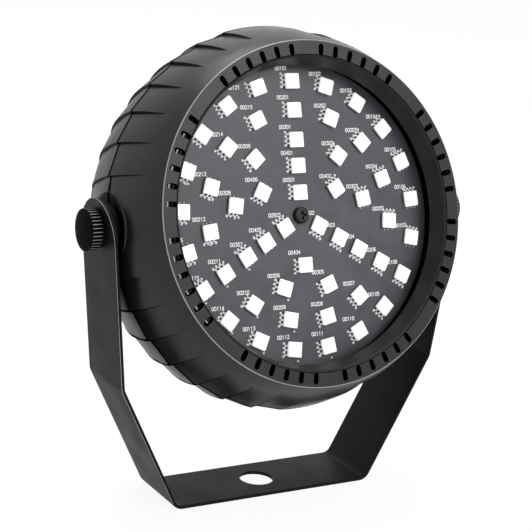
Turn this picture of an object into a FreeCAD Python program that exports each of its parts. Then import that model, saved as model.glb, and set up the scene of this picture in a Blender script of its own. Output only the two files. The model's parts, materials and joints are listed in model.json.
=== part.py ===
import FreeCAD, Part
import math
import os

Vector = FreeCAD.Vector

# Strobe light in a bent yoke. Millimetres and degrees, +Z up, the lamp looks along -Y.
# The origin is the centre of the yoke's fixing hole, on the underside of its base.
#
# The head is drawn in its own frame: X to the right as seen from the front, Z up, and Y is
# the depth behind the front face. It is then tilted about the pivot and lifted into the yoke.
# A clock angle runs clockwise from the top, as seen from the front.

# Fits
gap = 0.3                      # between pieces fitted by hand
slip = 0.08                    # radial running clearance of a shaft
skin = 0.1                     # between faces that slide on each other
overrun = 2.0                  # how far a cutting tool passes the face that it opens

# Yoke: centre line of a bent strip
strip_width = 24.9
strip_thickness = 1.2
strip_edge_radius = 0.3
bend_radius = 3.9
base_half_length = 37.7
slant_length = 49.2
slant_lean = 27.0
arm_length = 51.1
arm_lean = 6.3
arm_tip_above_pivot = 9.9
fixing_hole_radius = 6.0

# Head: outer form, as depth behind the front face and radius
rest_tilt = 17.3
pivot_depth = 25.6
seam_depth = 23.9
back_depth = 62.0
rim_radius = 56.1
rim_chamfer = 0.5
seam_radius = 64.0
seam_chamfer = 0.45
front_bulge = 1.0
shoulder_radius = 55.0
shoulder_depth = 56.0
rear_bulge = 1.9
back_radius = 48.8
corner_bulge = 1.3
wall = 2.2
seam_lip_reach = 2.7
seam_lip_thickness = 1.3
round_end_share = 0.499         # of a slot's width, so that its ends are round

# Front ring and funnel
funnel_radius = 50.3
funnel_fillet = 1.3
lip_radius = 48.8
lip_depth = 6.6
lip_land = 2.0
funnel_wall = 0.9
slot_ring_radius = 53.1
slot_length = 3.8
slot_width = 1.85
slot_divisions = 60
slot_gap_divisions = (0, 7, 8, 15, 22, 23, 30, 37, 38, 45, 52, 53)

# Plates round the side: each is high at one edge and a step lower at the other
plate_count = 36
plate_step = 0.9
plate_rise = 0.06              # a plate's high edge starts this far outside the body
plate_run_out = 0.5            # how far the cut stands off where the plates fade out
smooth_plates = (7, 8, 16, 17, 25, 26, 34, 35)
front_plate_shares = ((0.22, 0.0), (0.36, 0.35), (0.55, 0.75), (0.78, 1.0), (1.0, 1.0))
rear_plate_shares = ((0.0, 1.0), (0.25, 1.0), (0.5, 1.0), (0.75, 1.0), (0.93, 0.8), (1.02, 0.0))

# Pivots and clamp knobs
pad_half_distance = 62.4
pad_radius = 11.6
pad_depth = 4.9
insert_radius = 3.3
insert_length = 8.2
insert_post_radius = 6.5
insert_recess = 0.2
stud_radius = 2.5
stud_engagement = 6.0
pivot_washer_radius = 8.0
knob_washer_radius = 6.0
knob_washer_thickness = 1.0
knob_radius = 6.8
knob_height = 4.9
knob_side_height = 3.7
knob_dome_share = (0.72, 0.74)
knob_rib_count = 34
knob_rib_depth = 0.55
knob_rib_crest_share = 0.3
stud_depth_in_knob = 3.6

# Screws
shell_screw_circle = 53.6
shell_boss_radius = 2.6
shell_head_boss_radius = 3.4
shell_head_depth = 50.0
sink_screw_circle = 54.2
sink_boss_radius = 3.0
screw_radius = 1.25
screw_hole_radius = 1.35
screw_head_radius = 2.2
screw_head_height = 1.6
screw_bite = 8.0
recess_length_share = 1.2        # of the head's radius
small_screw_radius = 1.0
small_screw_hole_radius = 1.1
small_screw_head_radius = 1.9
small_screw_head_height = 1.3
small_screw_bite = 5.0

# Clear cover, its gasket, spacer ring, LED board and heat sink
gasket_thickness = 0.5
cover_thickness = 1.8
cover_radius = 49.6
spacer_radius = 50.8
spacer_wall = 0.9
spacer_step_radius = 49.0
board_depth = 11.3
board_thickness = 1.6
board_radius = 50.5
sink_thickness = 3.0
sink_ear_width = 9.0
sink_ear_reach = 57.0
sink_fin_count = 9
sink_fin_pitch = 9.0
sink_fin_thickness = 1.4
sink_fin_height = 5.0
sink_fin_circle = 46.0
centre_screw_head_radius = 2.7
centre_screw_recess_width = 0.7
centre_screw_recess_length = 2.8

# LED packages: radius of each ring and how many it holds
led_side = 5.0
led_height = 1.6
led_chamfer = 0.35
led_dish_radius = 2.0
led_dish_depth = 0.2
led_rings = ((44.0, 21), (34.5, 15), (24.8, 9), (16.3, 6), (7.5, 3))

# Driver board on four posts from the back
driver_depth = 30.0
driver_thickness = 1.6
driver_width = 72.0
driver_height = 47.0
driver_centre_height = -9.5
driver_posts = ((-26.0, -27.0), (26.0, -27.0), (-31.0, 8.0), (31.0, 8.0))
post_radius = 2.6
transformer_width = 22.0
transformer_height = 18.0
transformer_length = 16.0
transformer_place = (-14.0, -6.0)
transformer_coil_width = 13.0
transformer_coil_reach = 2.5
capacitor_radius = 6.3
capacitor_length = 17.0
capacitor_place = (11.0, -5.0)
output_capacitor_radius = 5.0
output_capacitor_length = 13.0
output_capacitor_place = (25.0, -6.0)
capacitor_crimp = 0.5
capacitor_crimp_share = 0.12     # of its length, from the board to the groove
choke_radius = 4.5
choke_length = 8.0
choke_waist = 1.0
choke_place = (-31.0, -7.0)
fuse_radius = 2.6
fuse_length = 20.0
fuse_height = -29.5
fuse_clip_width = 2.5
microphone_radius = 3.0
microphone_length = 4.5
microphone_place = (0.0, 33.5)
microphone_hole_radius = 1.0
microphone_collar = 1.0

# Control panel on the back
panel_width = 50.0
panel_height = 26.0
panel_corner = 3.0
panel_centre_height = 15.0
panel_recess = 0.8
panel_thickness = 1.0
display_width = 28.0
display_height = 11.0
display_above_centre = 5.0
display_depth = 7.2
display_set_back = 0.2
window_thickness = 0.7
panel_board_width = 48.0
panel_board_height = 24.0
panel_board_thickness = 1.6
panel_post_inset = 3.0
panel_post_radius = 2.1
button_names = ("menu", "down", "up", "enter")
button_pitch = 10.0
button_below_centre = 7.0
button_radius = 2.45
button_proud = 1.0
button_flange_radius = 3.2
button_flange_thickness = 0.9
button_stem_radius = 1.2
button_stem_clearance = 0.7
button_dome = 0.3
switch_side = 5.0
switch_height = 3.4
switch_plunger_radius = 1.5
switch_plunger_height = 0.6

# Mains inlet below the panel
inlet_height = -24.0
inlet_flange_width = 25.0
inlet_flange_height = 16.0
inlet_flange_corner = 3.5
inlet_flange_thickness = 1.6
inlet_body_width = 20.6
inlet_body_height = 12.2
inlet_body_depth = 16.0
inlet_lobe_radius = 4.1
inlet_pin_pitch = 8.6
inlet_cavity_depth = 11.0
inlet_pin_radius = 1.2
inlet_pin_reach = 9.5
inlet_tag_length = 3.0

# Vents in the back
vent_count = 48
vent_group = 6
vent_circle = 43.6
vent_length = 5.0
vent_width = 2.0

# Wires
wire_radius = 0.8
wire_bend = 2.6
led_wire_spread = 2.2
led_wire_entry_height = -12.0
led_wire_driver_height = -22.0
led_wire_hole_radius = 4.5
inlet_wire_landing_height = -20.5
inlet_wire_landing_spread = 9.0
panel_wire_count = 3
panel_wire_pitch = 2.2
panel_wire_height = 8.5
panel_wire_landing_height = 3.0

# Derived places
strip_half_thickness = strip_thickness / 2
slant_rise = slant_length * math.cos(math.radians(slant_lean))
arm_rise = arm_length * math.cos(math.radians(arm_lean))
slant_reach = slant_length * math.sin(math.radians(slant_lean))
arm_reach = arm_length * math.sin(math.radians(arm_lean))
pivot_height = strip_half_thickness + slant_rise + arm_rise
pivot_half_distance = base_half_length + slant_reach + arm_reach
arm_half_cut = strip_half_thickness / math.cos(math.radians(arm_lean))
knob_base = pivot_half_distance + arm_half_cut + knob_washer_thickness
board_back_depth = board_depth + board_thickness
sink_back_depth = board_back_depth + sink_thickness
cover_depth = lip_depth + gasket_thickness
cover_back_depth = cover_depth + cover_thickness
driver_back_depth = driver_depth + driver_thickness
inner_back_depth = back_depth - wall
panel_floor_depth = back_depth - panel_recess
display_front_depth = panel_floor_depth - display_set_back
panel_board_depth = display_front_depth - display_depth
panel_board_front_depth = panel_board_depth - panel_board_thickness
display_centre_height = panel_centre_height + display_above_centre
button_height = panel_centre_height - button_below_centre
full_turn = 360.0
quarter_turn = full_turn / 4


# Basic solids in the head's frame, with Y as the depth

def post(radius, start, end, x=0, z=0):
    """A cylinder along Y from one depth to another."""
    return Part.makeCylinder(radius, end - start, Vector(x, start, z), Vector(0, 1, 0))


def side_post(radius, start, end, depth=0, height=0):
    """A cylinder along X."""
    return Part.makeCylinder(radius, end - start, Vector(start, depth, height), Vector(1, 0, 0))


def tube(outer, inner, start, end):
    """A ring about the Y axis."""
    return post(outer, start, end).cut(post(inner, start - overrun, end + overrun))


def slab(width, height, start, end, x=0, z=0):
    """A block between two depths, centred on x and z."""
    corner = Vector(x - width / 2, start, z - height / 2)
    return Part.makeBox(width, end - start, height, corner)


def rounded_outline(width, height, corner):
    """A closed rectangle with round corners in the XZ plane, centred on the origin."""
    half_width = width / 2
    half_height = height / 2
    inner_width = half_width - corner
    inner_height = half_height - corner
    bow = corner * math.sin(math.radians(quarter_turn / 2))
    edges = []
    for sx, sz in ((1, 1), (-1, 1), (-1, -1), (1, -1)):
        side = Vector(sx * half_width, 0, sz * inner_height)
        middle = Vector(sx * (inner_width + bow), 0, sz * (inner_height + bow))
        top = Vector(sx * inner_width, 0, sz * half_height)
        first, last = (side, top) if sx == sz else (top, side)
        edges.append(Part.Arc(first, middle, last).toShape())
    lines = []
    for index, edge in enumerate(edges):
        following = edges[(index + 1) % len(edges)]
        start = edge.Vertexes[-1].Point
        end = following.Vertexes[0].Point
        lines.append(Part.makeLine(start, end))
    closed = [piece for pair in zip(edges, lines) for piece in pair]
    return Part.Wire(closed)


def rounded_slab(width, height, corner, start, end, x=0, z=0):
    """A plate with round corners between two depths."""
    face = Part.Face(rounded_outline(width, height, corner))
    face.translate(Vector(x, start, z))
    return face.extrude(Vector(0, end - start, 0))


def revolved(steps):
    """Turn a closed outline of (radius, depth) points about the Y axis.

    A step with four numbers is an arc: a point that it passes through, then its end.
    """
    points = [Vector(step[-2], step[-1], 0) for step in steps]
    edges = []
    for index, step in enumerate(steps):
        start = points[index - 1]
        if len(step) == 4:
            middle = Vector(step[0], step[1], 0)
            edges.append(Part.Arc(start, middle, points[index]).toShape())
        else:
            edges.append(Part.makeLine(start, points[index]))
    face = Part.Face(Part.Wire(edges))
    return face.revolve(Vector(0, 0, 0), Vector(0, 1, 0), full_turn)


def clock_turned(shape, angle):
    """The shape turned clockwise about the Y axis, as seen from the front."""
    turned = shape.copy()
    turned.rotate(Vector(0, 0, 0), Vector(0, 1, 0), angle)
    return turned


def joined(shapes):
    """One compound that holds separate solids."""
    return Part.makeCompound(shapes)


def united(shapes):
    """One solid made of solids that overlap or share faces."""
    whole = shapes[0].multiFuse(shapes[1:])
    return whole.removeSplitter()


def drilled(shape, tools):
    """The shape less every tool."""
    return shape.cut(joined_solid(tools))


def joined_solid(tools):
    """The tools as one shape, so that tools that overlap still cut once."""
    if len(tools) == 1:
        return tools[0]
    return tools[0].multiFuse(tools[1:])


def bent_wire(points, radius, bend):
    """A round wire along straight runs joined by tangent arcs."""
    edges = []
    start = points[0]
    for index in range(1, len(points) - 1):
        corner = points[index]
        before = (points[index - 1] - corner).normalize()
        after = (points[index + 1] - corner).normalize()
        turn = math.pi - before.getAngle(after)
        setback = bend * math.tan(turn / 2)
        arc_start = corner + before * setback
        arc_end = corner + after * setback
        inward = (before + after).normalize()
        to_centre = bend / math.cos(turn / 2)
        arc_middle = corner + inward * (to_centre - bend)
        edges.append(Part.makeLine(start, arc_start))
        edges.append(Part.Arc(arc_start, arc_middle, arc_end).toShape())
        start = arc_end
    edges.append(Part.makeLine(start, points[-1]))
    path = Part.Wire(edges)
    direction = points[1] - points[0]
    circle = Part.Wire(Part.makeCircle(radius, points[0], direction))
    return path.makePipeShell([circle], True, False)


# Outer form of the head

def arc_radius(depth, first, bulge, last):
    """Radius at a depth on the arc from first to last, which bows out by bulge."""
    middle = bowed_middle(first, bulge, last)
    centre = circle_centre(first, middle, last)
    span = math.hypot(first[0] - centre[0], first[1] - centre[1])
    return centre[0] + math.sqrt(span ** 2 - (depth - centre[1]) ** 2)


def bowed_middle(first, bulge, last):
    """The middle of the arc between two (radius, depth) points."""
    run_radius = last[0] - first[0]
    run_depth = last[1] - first[1]
    length = math.hypot(run_radius, run_depth)
    middle_radius = (first[0] + last[0]) / 2 + bulge * run_depth / length
    middle_depth = (first[1] + last[1]) / 2 - bulge * run_radius / length
    return (middle_radius, middle_depth)


def circle_centre(a, b, c):
    """The centre of the circle through three points."""
    twice = 2 * (a[0] * (b[1] - c[1]) + b[0] * (c[1] - a[1]) + c[0] * (a[1] - b[1]))
    square_a = a[0] ** 2 + a[1] ** 2
    square_b = b[0] ** 2 + b[1] ** 2
    square_c = c[0] ** 2 + c[1] ** 2
    x = square_a * (b[1] - c[1]) + square_b * (c[1] - a[1]) + square_c * (a[1] - b[1])
    y = square_a * (c[0] - b[0]) + square_b * (a[0] - c[0]) + square_c * (b[0] - a[0])
    return (x / twice, y / twice)


rim_point = (rim_radius, rim_chamfer)
front_seam_point = (seam_radius, seam_depth)
shoulder_point = (shoulder_radius, shoulder_depth)
back_point = (back_radius, back_depth)
inner_face_point = (arc_radius(wall, rim_point, front_bulge, front_seam_point) - wall, wall)
inner_seam_point = (seam_radius - wall, seam_depth)
inner_shoulder_point = (shoulder_radius - wall, shoulder_depth - wall / 2)
inner_back_point = (back_radius - wall / 2, inner_back_depth)


def front_radius(depth):
    """Outer radius of the front housing at a depth."""
    return arc_radius(depth, rim_point, front_bulge, front_seam_point)


def rear_radius(depth):
    """Outer radius of the rear housing at a depth, as far as its shoulder."""
    return arc_radius(depth, front_seam_point, rear_bulge, shoulder_point)


def front_envelope():
    """The front housing as if it were solid."""
    chamfer_depth = seam_depth - seam_chamfer
    chamfer_point = (front_radius(chamfer_depth), chamfer_depth)
    bow = bowed_middle(rim_point, front_bulge, front_seam_point)
    return revolved([
        (0, 0),
        (rim_radius - rim_chamfer, 0),
        rim_point,
        bow + chamfer_point,
        (seam_radius - seam_chamfer, seam_depth),
        (0, seam_depth),
    ])


def rear_envelope():
    """The rear housing as if it were solid."""
    chamfer_depth = seam_depth + seam_chamfer
    chamfer_point = (rear_radius(chamfer_depth), chamfer_depth)
    bow = bowed_middle(front_seam_point, rear_bulge, shoulder_point)
    corner = bowed_middle(shoulder_point, corner_bulge, back_point)
    return revolved([
        (0, seam_depth),
        (seam_radius - seam_chamfer, seam_depth),
        chamfer_point,
        bow + shoulder_point,
        corner + back_point,
        (0, back_depth),
    ])


def plate_cutter(index, stations, radius_at):
    """The space outside one plate, from its high edge down to the step at its low edge."""
    plate_angle = full_turn / plate_count
    high_angle = math.radians(plate_angle * (index + 1) - plate_angle / 2)
    low_angle = math.radians(plate_angle * (index + 2) - plate_angle / 2)
    outside = seam_radius + overrun
    sections = []
    for depth, share in stations:
        fade = plate_run_out if share == 0 else plate_rise
        high = radius_at(depth) + fade
        low = radius_at(depth) + fade - share * plate_step
        corners = ((high_angle, high), (high_angle, outside), (low_angle, outside), (low_angle, low))
        points = [Vector(r * math.sin(a), depth, r * math.cos(a)) for a, r in corners]
        sections.append(Part.makePolygon(points + [points[0]]))
    return Part.makeLoft(sections, True, False)


def plate_cutters(stations, radius_at):
    """The space outside every plate, less the smooth fields at top, bottom and pivots."""
    wanted = [index for index in range(plate_count) if index not in smooth_plates]
    return [plate_cutter(index, stations, radius_at) for index in wanted]


def front_plate_stations():
    """Depth and share of the full step along the front plates."""
    return [(depth * seam_depth, share) for depth, share in front_plate_shares]


def rear_plate_stations():
    """Depth and share of the full step along the rear plates."""
    run = shoulder_depth - seam_depth
    return [(seam_depth + depth * run, share) for depth, share in rear_plate_shares]


def beyond_pads():
    """The space outside both pivot pads."""
    reach = seam_radius + overrun
    width = reach - pad_half_distance
    height = 2 * reach
    centre = (reach + pad_half_distance) / 2
    sides = (-centre, centre)
    return [slab(width, height, -overrun, back_depth + overrun, side) for side in sides]


def pads(start, end):
    """The thick round pads under the arms, between two depths."""
    left = side_post(pad_radius, -pad_half_distance, pad_depth - pad_half_distance, pivot_depth)
    right = side_post(pad_radius, pad_half_distance - pad_depth, pad_half_distance, pivot_depth)
    keep = slab(4 * seam_radius, 4 * seam_radius, start, end)
    return [left.common(keep), right.common(keep)]


# Screw places

def shell_screw_places():
    """The four long screws lie behind the wide gaps of the slot ring."""
    places = []
    for index in range(4):
        angle = math.radians(quarter_turn * index + quarter_turn / 2)
        x = shell_screw_circle * math.sin(angle)
        z = shell_screw_circle * math.cos(angle)
        places.append((x, z))
    return places


def sink_screw_places():
    """The four heat sink screws lie behind the narrow gaps of the slot ring."""
    places = []
    for index in range(4):
        angle = math.radians(quarter_turn * index)
        places.append((sink_screw_circle * math.sin(angle), sink_screw_circle * math.cos(angle)))
    return places


def panel_post_places():
    """The four posts under the corners of the panel board."""
    half_width = panel_board_width / 2 - panel_post_inset
    half_height = panel_board_height / 2 - panel_post_inset
    places = []
    for sx in (-1, 1):
        for sz in (-1, 1):
            places.append((sx * half_width, panel_centre_height + sz * half_height))
    return places


def screw(head_depth, tip_depth, x, z, radius=screw_radius, head_radius=screw_head_radius,
          head_height=screw_head_height):
    """A pan-head screw whose head stands behind head_depth and whose tip points forward."""
    shank = post(radius, tip_depth, head_depth, x, z)
    head = post(head_radius, head_depth, head_depth + head_height, x, z)
    face_depth = head_depth + head_height
    rim = [edge for edge in head.Edges if abs(edge.CenterOfMass.y - face_depth) < skin]
    head = head.makeFillet(head_height / 2, rim)
    recess = cross_recess(face_depth - head_height / 2, face_depth + overrun, head_radius, x, z)
    return united([shank, head]).cut(recess)


def cross_recess(start, end, head_radius, x, z):
    """A cross slot sunk into a screw's face."""
    width = head_radius / 4
    length = head_radius * recess_length_share
    upright = slab(width, length, start, end, x, z)
    level = slab(length, width, start, end, x, z)
    return upright.fuse(level)


# Front half of the head

def front_housing():
    """Slotted ring, funnel, side wall with its plates, and the screw bosses."""
    funnel = revolved([
        (0, -overrun),
        (funnel_radius + funnel_fillet, -overrun),
        (funnel_radius + funnel_fillet, 0),
        fillet_middle() + (funnel_radius, funnel_fillet),
        (lip_radius, lip_depth),
        (lip_radius, lip_depth + overrun),
        (0, lip_depth + overrun),
    ])
    bow = bowed_middle(inner_face_point, front_bulge, inner_seam_point)
    funnel_back = (funnel_radius + funnel_wall, wall)
    cavity = revolved([
        (0, lip_depth),
        (lip_radius + lip_land, lip_depth),
        funnel_back,
        inner_face_point,
        bow + inner_seam_point,
        (seam_radius - wall, seam_depth + overrun),
        (0, seam_depth + overrun),
    ])
    bosses = [post(shell_boss_radius, 0, seam_depth, x, z) for x, z in shell_screw_places()]
    bosses += [post(sink_boss_radius, 0, board_back_depth, x, z) for x, z in sink_screw_places()]
    bosses += pads(0, seam_depth)
    body = front_envelope().cut(joined_solid(plate_cutters(front_plate_stations(), front_radius)))
    body = body.cut(cavity.cut(joined_solid(bosses)))
    body = body.cut(funnel)
    body = united([body] + pads(0, seam_depth))
    openings = beyond_pads() + front_slots() + front_pilot_holes()
    return drilled(body, openings + insert_holes())


def fillet_middle():
    """The middle of the soft fillet between the front face and the funnel."""
    lean = math.sin(math.radians(quarter_turn / 2))
    return (funnel_radius + funnel_fillet * (1 - lean), funnel_fillet * (1 - lean))


def front_slots():
    """Radial vent slots in the front ring, in groups."""
    slots = []
    for index in range(slot_divisions):
        if index in slot_gap_divisions:
            continue
        shape = rounded_slab(slot_width, slot_length, slot_width * round_end_share, -overrun, wall + overrun,
                             0, slot_ring_radius)
        slots.append(clock_turned(shape, full_turn / slot_divisions * index))
    return slots


def front_pilot_holes():
    """Holes for the tips of the shell screws and the heat sink screws."""
    holes = []
    for x, z in shell_screw_places():
        start = shell_screw_tip() - screw_radius
        holes.append(post(screw_hole_radius, start, seam_depth + overrun, x, z))
    for x, z in sink_screw_places():
        start = sink_screw_tip() - screw_radius / 2
        holes.append(post(screw_hole_radius, start, board_back_depth + overrun, x, z))
    return holes


def shell_screw_tip():
    """How far forward the shell screws reach."""
    return seam_depth - screw_bite


def sink_screw_tip():
    """How far forward the heat sink screws reach."""
    return board_back_depth - screw_bite


def front_cover():
    """The clear disc behind the funnel's lip."""
    return post(cover_radius, cover_depth, cover_back_depth)


def cover_gasket():
    """The ring between lip and cover."""
    return tube(cover_radius, lip_radius + gap, lip_depth, cover_depth)


def spacer_ring():
    """The dark ring that holds the cover off the board."""
    outer = tube(spacer_radius, spacer_radius - spacer_wall, lip_depth, board_depth)
    step = tube(spacer_radius, spacer_step_radius, cover_back_depth, board_depth)
    return united([outer, step])


def led_board():
    """The round board, with the hole for its centre screw."""
    hole = post(screw_hole_radius, board_depth - overrun, board_back_depth + overrun)
    return post(board_radius, board_depth, board_back_depth).cut(hole)


def led_package():
    """One square package at the centre of the board, with its shallow round dish."""
    front = board_depth - led_height
    body = slab(led_side, led_side, front, board_depth)
    marked = [edge for edge in body.Edges
              if edge.CenterOfMass.x + edge.CenterOfMass.z > led_side - led_chamfer]
    body = body.makeChamfer(led_chamfer, marked)
    dish = post(led_dish_radius, front - overrun, front + led_dish_depth)
    return body.cut(dish)


def led_ring(radius, count):
    """A ring of packages, each turned with its place on the ring."""
    package = led_package()
    package.translate(Vector(0, 0, radius))
    return joined([clock_turned(package, full_turn / count * index) for index in range(count)])


def centre_screw():
    """The cross-head screw in the middle of the board, its head to the front."""
    tip = sink_back_depth - gap
    head_front = board_depth - screw_head_height
    head = post(centre_screw_head_radius, head_front, board_depth)
    rim = [edge for edge in head.Edges if abs(edge.CenterOfMass.y - head_front) < skin]
    head = head.makeFillet(screw_head_height / 2, rim)
    shank = post(screw_radius, board_depth, tip)
    recess_end = head_front + screw_head_height / 2
    upright = slab(centre_screw_recess_width, centre_screw_recess_length,
                   head_front - overrun, recess_end)
    level = slab(centre_screw_recess_length, centre_screw_recess_width,
                 head_front - overrun, recess_end)
    return united([head, shank]).cut(upright.fuse(level))


def heat_sink():
    """The plate behind the board, with four ears and a row of fins."""
    disc = post(board_radius, board_back_depth, sink_back_depth)
    upright = slab(sink_ear_width, 2 * sink_ear_reach, board_back_depth, sink_back_depth)
    level = slab(2 * sink_ear_reach, sink_ear_width, board_back_depth, sink_back_depth)
    fins = []
    fin_end = sink_back_depth + sink_fin_height
    for index in range(sink_fin_count):
        x = (index - (sink_fin_count - 1) / 2) * sink_fin_pitch
        fins.append(slab(sink_fin_thickness, 2 * board_radius, sink_back_depth, fin_end, x))
    fin_field = post(sink_fin_circle, sink_back_depth, fin_end)
    fins = [fin.common(fin_field) for fin in fins]
    holes = [post(screw_hole_radius, board_back_depth - overrun, sink_back_depth + overrun, x, z)
             for x, z in sink_screw_places() + [(0, 0)]]
    wire_hole = post(led_wire_hole_radius, board_back_depth - overrun, fin_end + overrun,
                     0, led_wire_entry_height)
    return drilled(united([disc, upright, level] + fins), holes + [wire_hole])


def sink_screws():
    """Four screws from behind, through the ears into the front housing."""
    return joined([screw(sink_back_depth, sink_screw_tip(), x, z) for x, z in sink_screw_places()])


# Rear half of the head

def rear_housing():
    """The rear shell with its lip, posts, bosses, panel recess, inlet hole and vents."""
    lip_front = seam_depth - seam_lip_reach
    lip_outer = arc_radius(lip_front, inner_face_point, front_bulge, inner_seam_point) - gap
    lip_inner = lip_outer - seam_lip_thickness
    step_depth = seam_depth + wall
    bow = bowed_middle(inner_seam_point, rear_bulge, inner_shoulder_point)
    corner = bowed_middle(inner_shoulder_point, corner_bulge, inner_back_point)
    cavity = revolved([
        (0, lip_front - overrun),
        (lip_inner, lip_front - overrun),
        (lip_inner, seam_depth + wall / 2),
        (arc_radius(step_depth, inner_seam_point, rear_bulge, inner_shoulder_point), step_depth),
        clear_arc_middle(step_depth) + inner_shoulder_point,
        corner + inner_back_point,
        (0, inner_back_depth),
    ])
    lip = tube(lip_outer, lip_inner, lip_front, seam_depth + skin)
    lip_relief = pads_with_room(lip_front - overrun, seam_depth)
    envelope = rear_envelope()
    body = envelope.cut(joined_solid(plate_cutters(rear_plate_stations(), rear_radius)))
    inner_posts = [piece.common(envelope) for piece in rear_posts()]
    body = united([body, lip.cut(joined_solid(lip_relief))])
    body = body.cut(cavity.cut(joined_solid(inner_posts)))
    body = united([body] + pads(seam_depth, back_depth) + insert_posts())
    return drilled(body, beyond_pads() + rear_holes() + insert_holes())


def clear_arc_middle(step_depth):
    """The middle of the rear cavity's long arc, which starts behind the step."""
    middle_depth = (step_depth + inner_shoulder_point[1]) / 2
    middle_radius = arc_radius(middle_depth, inner_seam_point, rear_bulge, inner_shoulder_point)
    return (middle_radius, middle_depth)


def pads_with_room(start, end):
    """The space that the front housing's pads need in the rear housing's lip."""
    room = pad_radius + gap
    reach = 2 * seam_radius
    bar = side_post(room, -reach, reach, pivot_depth)
    return [bar.common(slab(2 * reach, 2 * reach, start, end))]


def rear_posts():
    """Screw bosses and board posts that grow from the back wall."""
    pieces = []
    for x, z in shell_screw_places():
        pieces.append(post(shell_boss_radius, seam_depth, back_depth, x, z))
        pieces.append(post(shell_head_boss_radius, shell_head_depth - wall, back_depth, x, z))
    for x, z in driver_posts:
        pieces.append(post(post_radius, driver_back_depth, back_depth, x, z))
    for x, z in panel_post_places():
        pieces.append(post(panel_post_radius, panel_board_depth, back_depth, x, z))
    x, z = microphone_place
    collar_radius = microphone_radius + skin + microphone_collar
    pieces.append(post(collar_radius, inner_back_depth - microphone_length, back_depth, x, z))
    return pieces


def insert_posts():
    """The thick posts that hold the pivot inserts, behind the seam only."""
    start = pad_half_distance - insert_recess - insert_length - skin
    end = pad_half_distance - pad_depth / 2
    keep = slab(4 * seam_radius, 4 * seam_radius, seam_depth, back_depth)
    right = side_post(insert_post_radius, start, end, pivot_depth)
    left = side_post(insert_post_radius, -end, -start, pivot_depth)
    return [left.common(keep), right.common(keep)]


def insert_holes():
    """The bore through both pads for the pivot inserts."""
    hole = insert_radius + skin / 2
    start = pad_half_distance - pad_depth - insert_length
    end = pad_half_distance + overrun
    left = side_post(hole, -end, -start, pivot_depth)
    right = side_post(hole, start, end, pivot_depth)
    return [left, right]


def rear_holes():
    """Every opening in the rear housing."""
    holes = []
    for x, z in shell_screw_places():
        holes.append(post(screw_hole_radius, seam_depth - overrun, back_depth, x, z))
        pocket_radius = screw_head_radius + gap
        holes.append(post(pocket_radius, shell_head_depth, back_depth + overrun, x, z))
    for x, z in driver_posts:
        end = driver_back_depth + small_screw_bite + gap
        holes.append(post(small_screw_hole_radius, driver_back_depth - overrun, end, x, z))
    for x, z in panel_post_places():
        end = panel_board_depth + small_screw_bite + gap
        holes.append(post(small_screw_hole_radius, panel_board_depth - overrun, end, x, z))
    holes.append(rounded_slab(panel_width + gap, panel_height + gap, panel_corner,
                              panel_floor_depth, back_depth + overrun, 0, panel_centre_height))
    holes.append(slab(display_width + gap, display_height + gap, inner_back_depth - overrun,
                      back_depth + overrun, 0, display_centre_height))
    for x in button_places():
        hole_radius = button_radius + skin + slip
        holes.append(post(hole_radius, inner_back_depth - overrun, back_depth, x, button_height))
    holes.append(slab(inlet_body_width + gap, inlet_body_height + gap,
                      inner_back_depth - overrun, back_depth + overrun, 0, inlet_height))
    x, z = microphone_place
    seat = inner_back_depth - microphone_length - overrun
    holes.append(post(microphone_radius + skin, seat, inner_back_depth, x, z))
    holes.append(post(microphone_hole_radius, inner_back_depth - skin, back_depth + overrun, x, z))
    return holes + rear_vents()


def rear_vents():
    """Radial vent slots round the flat back, in groups."""
    vents = []
    for index in range(vent_count):
        if index % vent_group == 0:
            continue
        shape = rounded_slab(vent_width, vent_length, vent_width * round_end_share,
                             inner_back_depth - overrun, back_depth + overrun, 0, vent_circle)
        vents.append(clock_turned(shape, full_turn / vent_count * index))
    return vents


def shell_screws():
    """Four long screws that hold the two housings together."""
    return joined([screw(shell_head_depth, shell_screw_tip(), x, z)
                   for x, z in shell_screw_places()])


def pivot_insert(side):
    """A brass threaded insert in one pad."""
    outer_end = pad_half_distance - insert_recess
    inner_end = outer_end - insert_length
    start, end = (inner_end, outer_end) if side > 0 else (-outer_end, -inner_end)
    body = side_post(insert_radius, start, end, pivot_depth)
    bore = side_post(stud_radius + slip, start - overrun, end + overrun, pivot_depth)
    return body.cut(bore)


# Driver board and what stands on it

def driver_board():
    """The mains board on its four posts."""
    board = slab(driver_width, driver_height, driver_depth, driver_back_depth,
                 0, driver_centre_height)
    holes = [post(small_screw_hole_radius, driver_depth - overrun,
                  driver_back_depth + overrun, x, z) for x, z in driver_posts]
    return drilled(board, holes)


def small_screw(head_depth, tip_depth, x, z):
    """A small screw whose head is to the front and whose tip points back."""
    head = post(small_screw_head_radius, head_depth - small_screw_head_height, head_depth, x, z)
    shank = post(small_screw_radius, head_depth, tip_depth, x, z)
    face_depth = head_depth - small_screw_head_height
    recess = cross_recess(face_depth - overrun, face_depth + small_screw_head_height / 2,
                          small_screw_head_radius, x, z)
    return united([head, shank]).cut(recess)


def driver_screws():
    """Screws that hold the driver board on its posts."""
    tip = driver_back_depth + small_screw_bite
    return joined([small_screw(driver_depth, tip, x, z) for x, z in driver_posts])


def transformer():
    """A ferrite core with its coil standing out on two sides."""
    x, z = transformer_place
    end = driver_back_depth + transformer_length
    core = slab(transformer_width, transformer_height, driver_back_depth, end, x, z)
    core = core.cut(slab(transformer_coil_width, transformer_height + overrun,
                         driver_back_depth + transformer_coil_reach,
                         end - transformer_coil_reach, x, z))
    coil_height = transformer_height + 2 * transformer_coil_reach
    coil = rounded_slab(transformer_coil_width - gap, coil_height, transformer_coil_reach,
                        driver_back_depth + transformer_coil_reach,
                        end - transformer_coil_reach, x, z)
    return united([core, coil])


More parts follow.
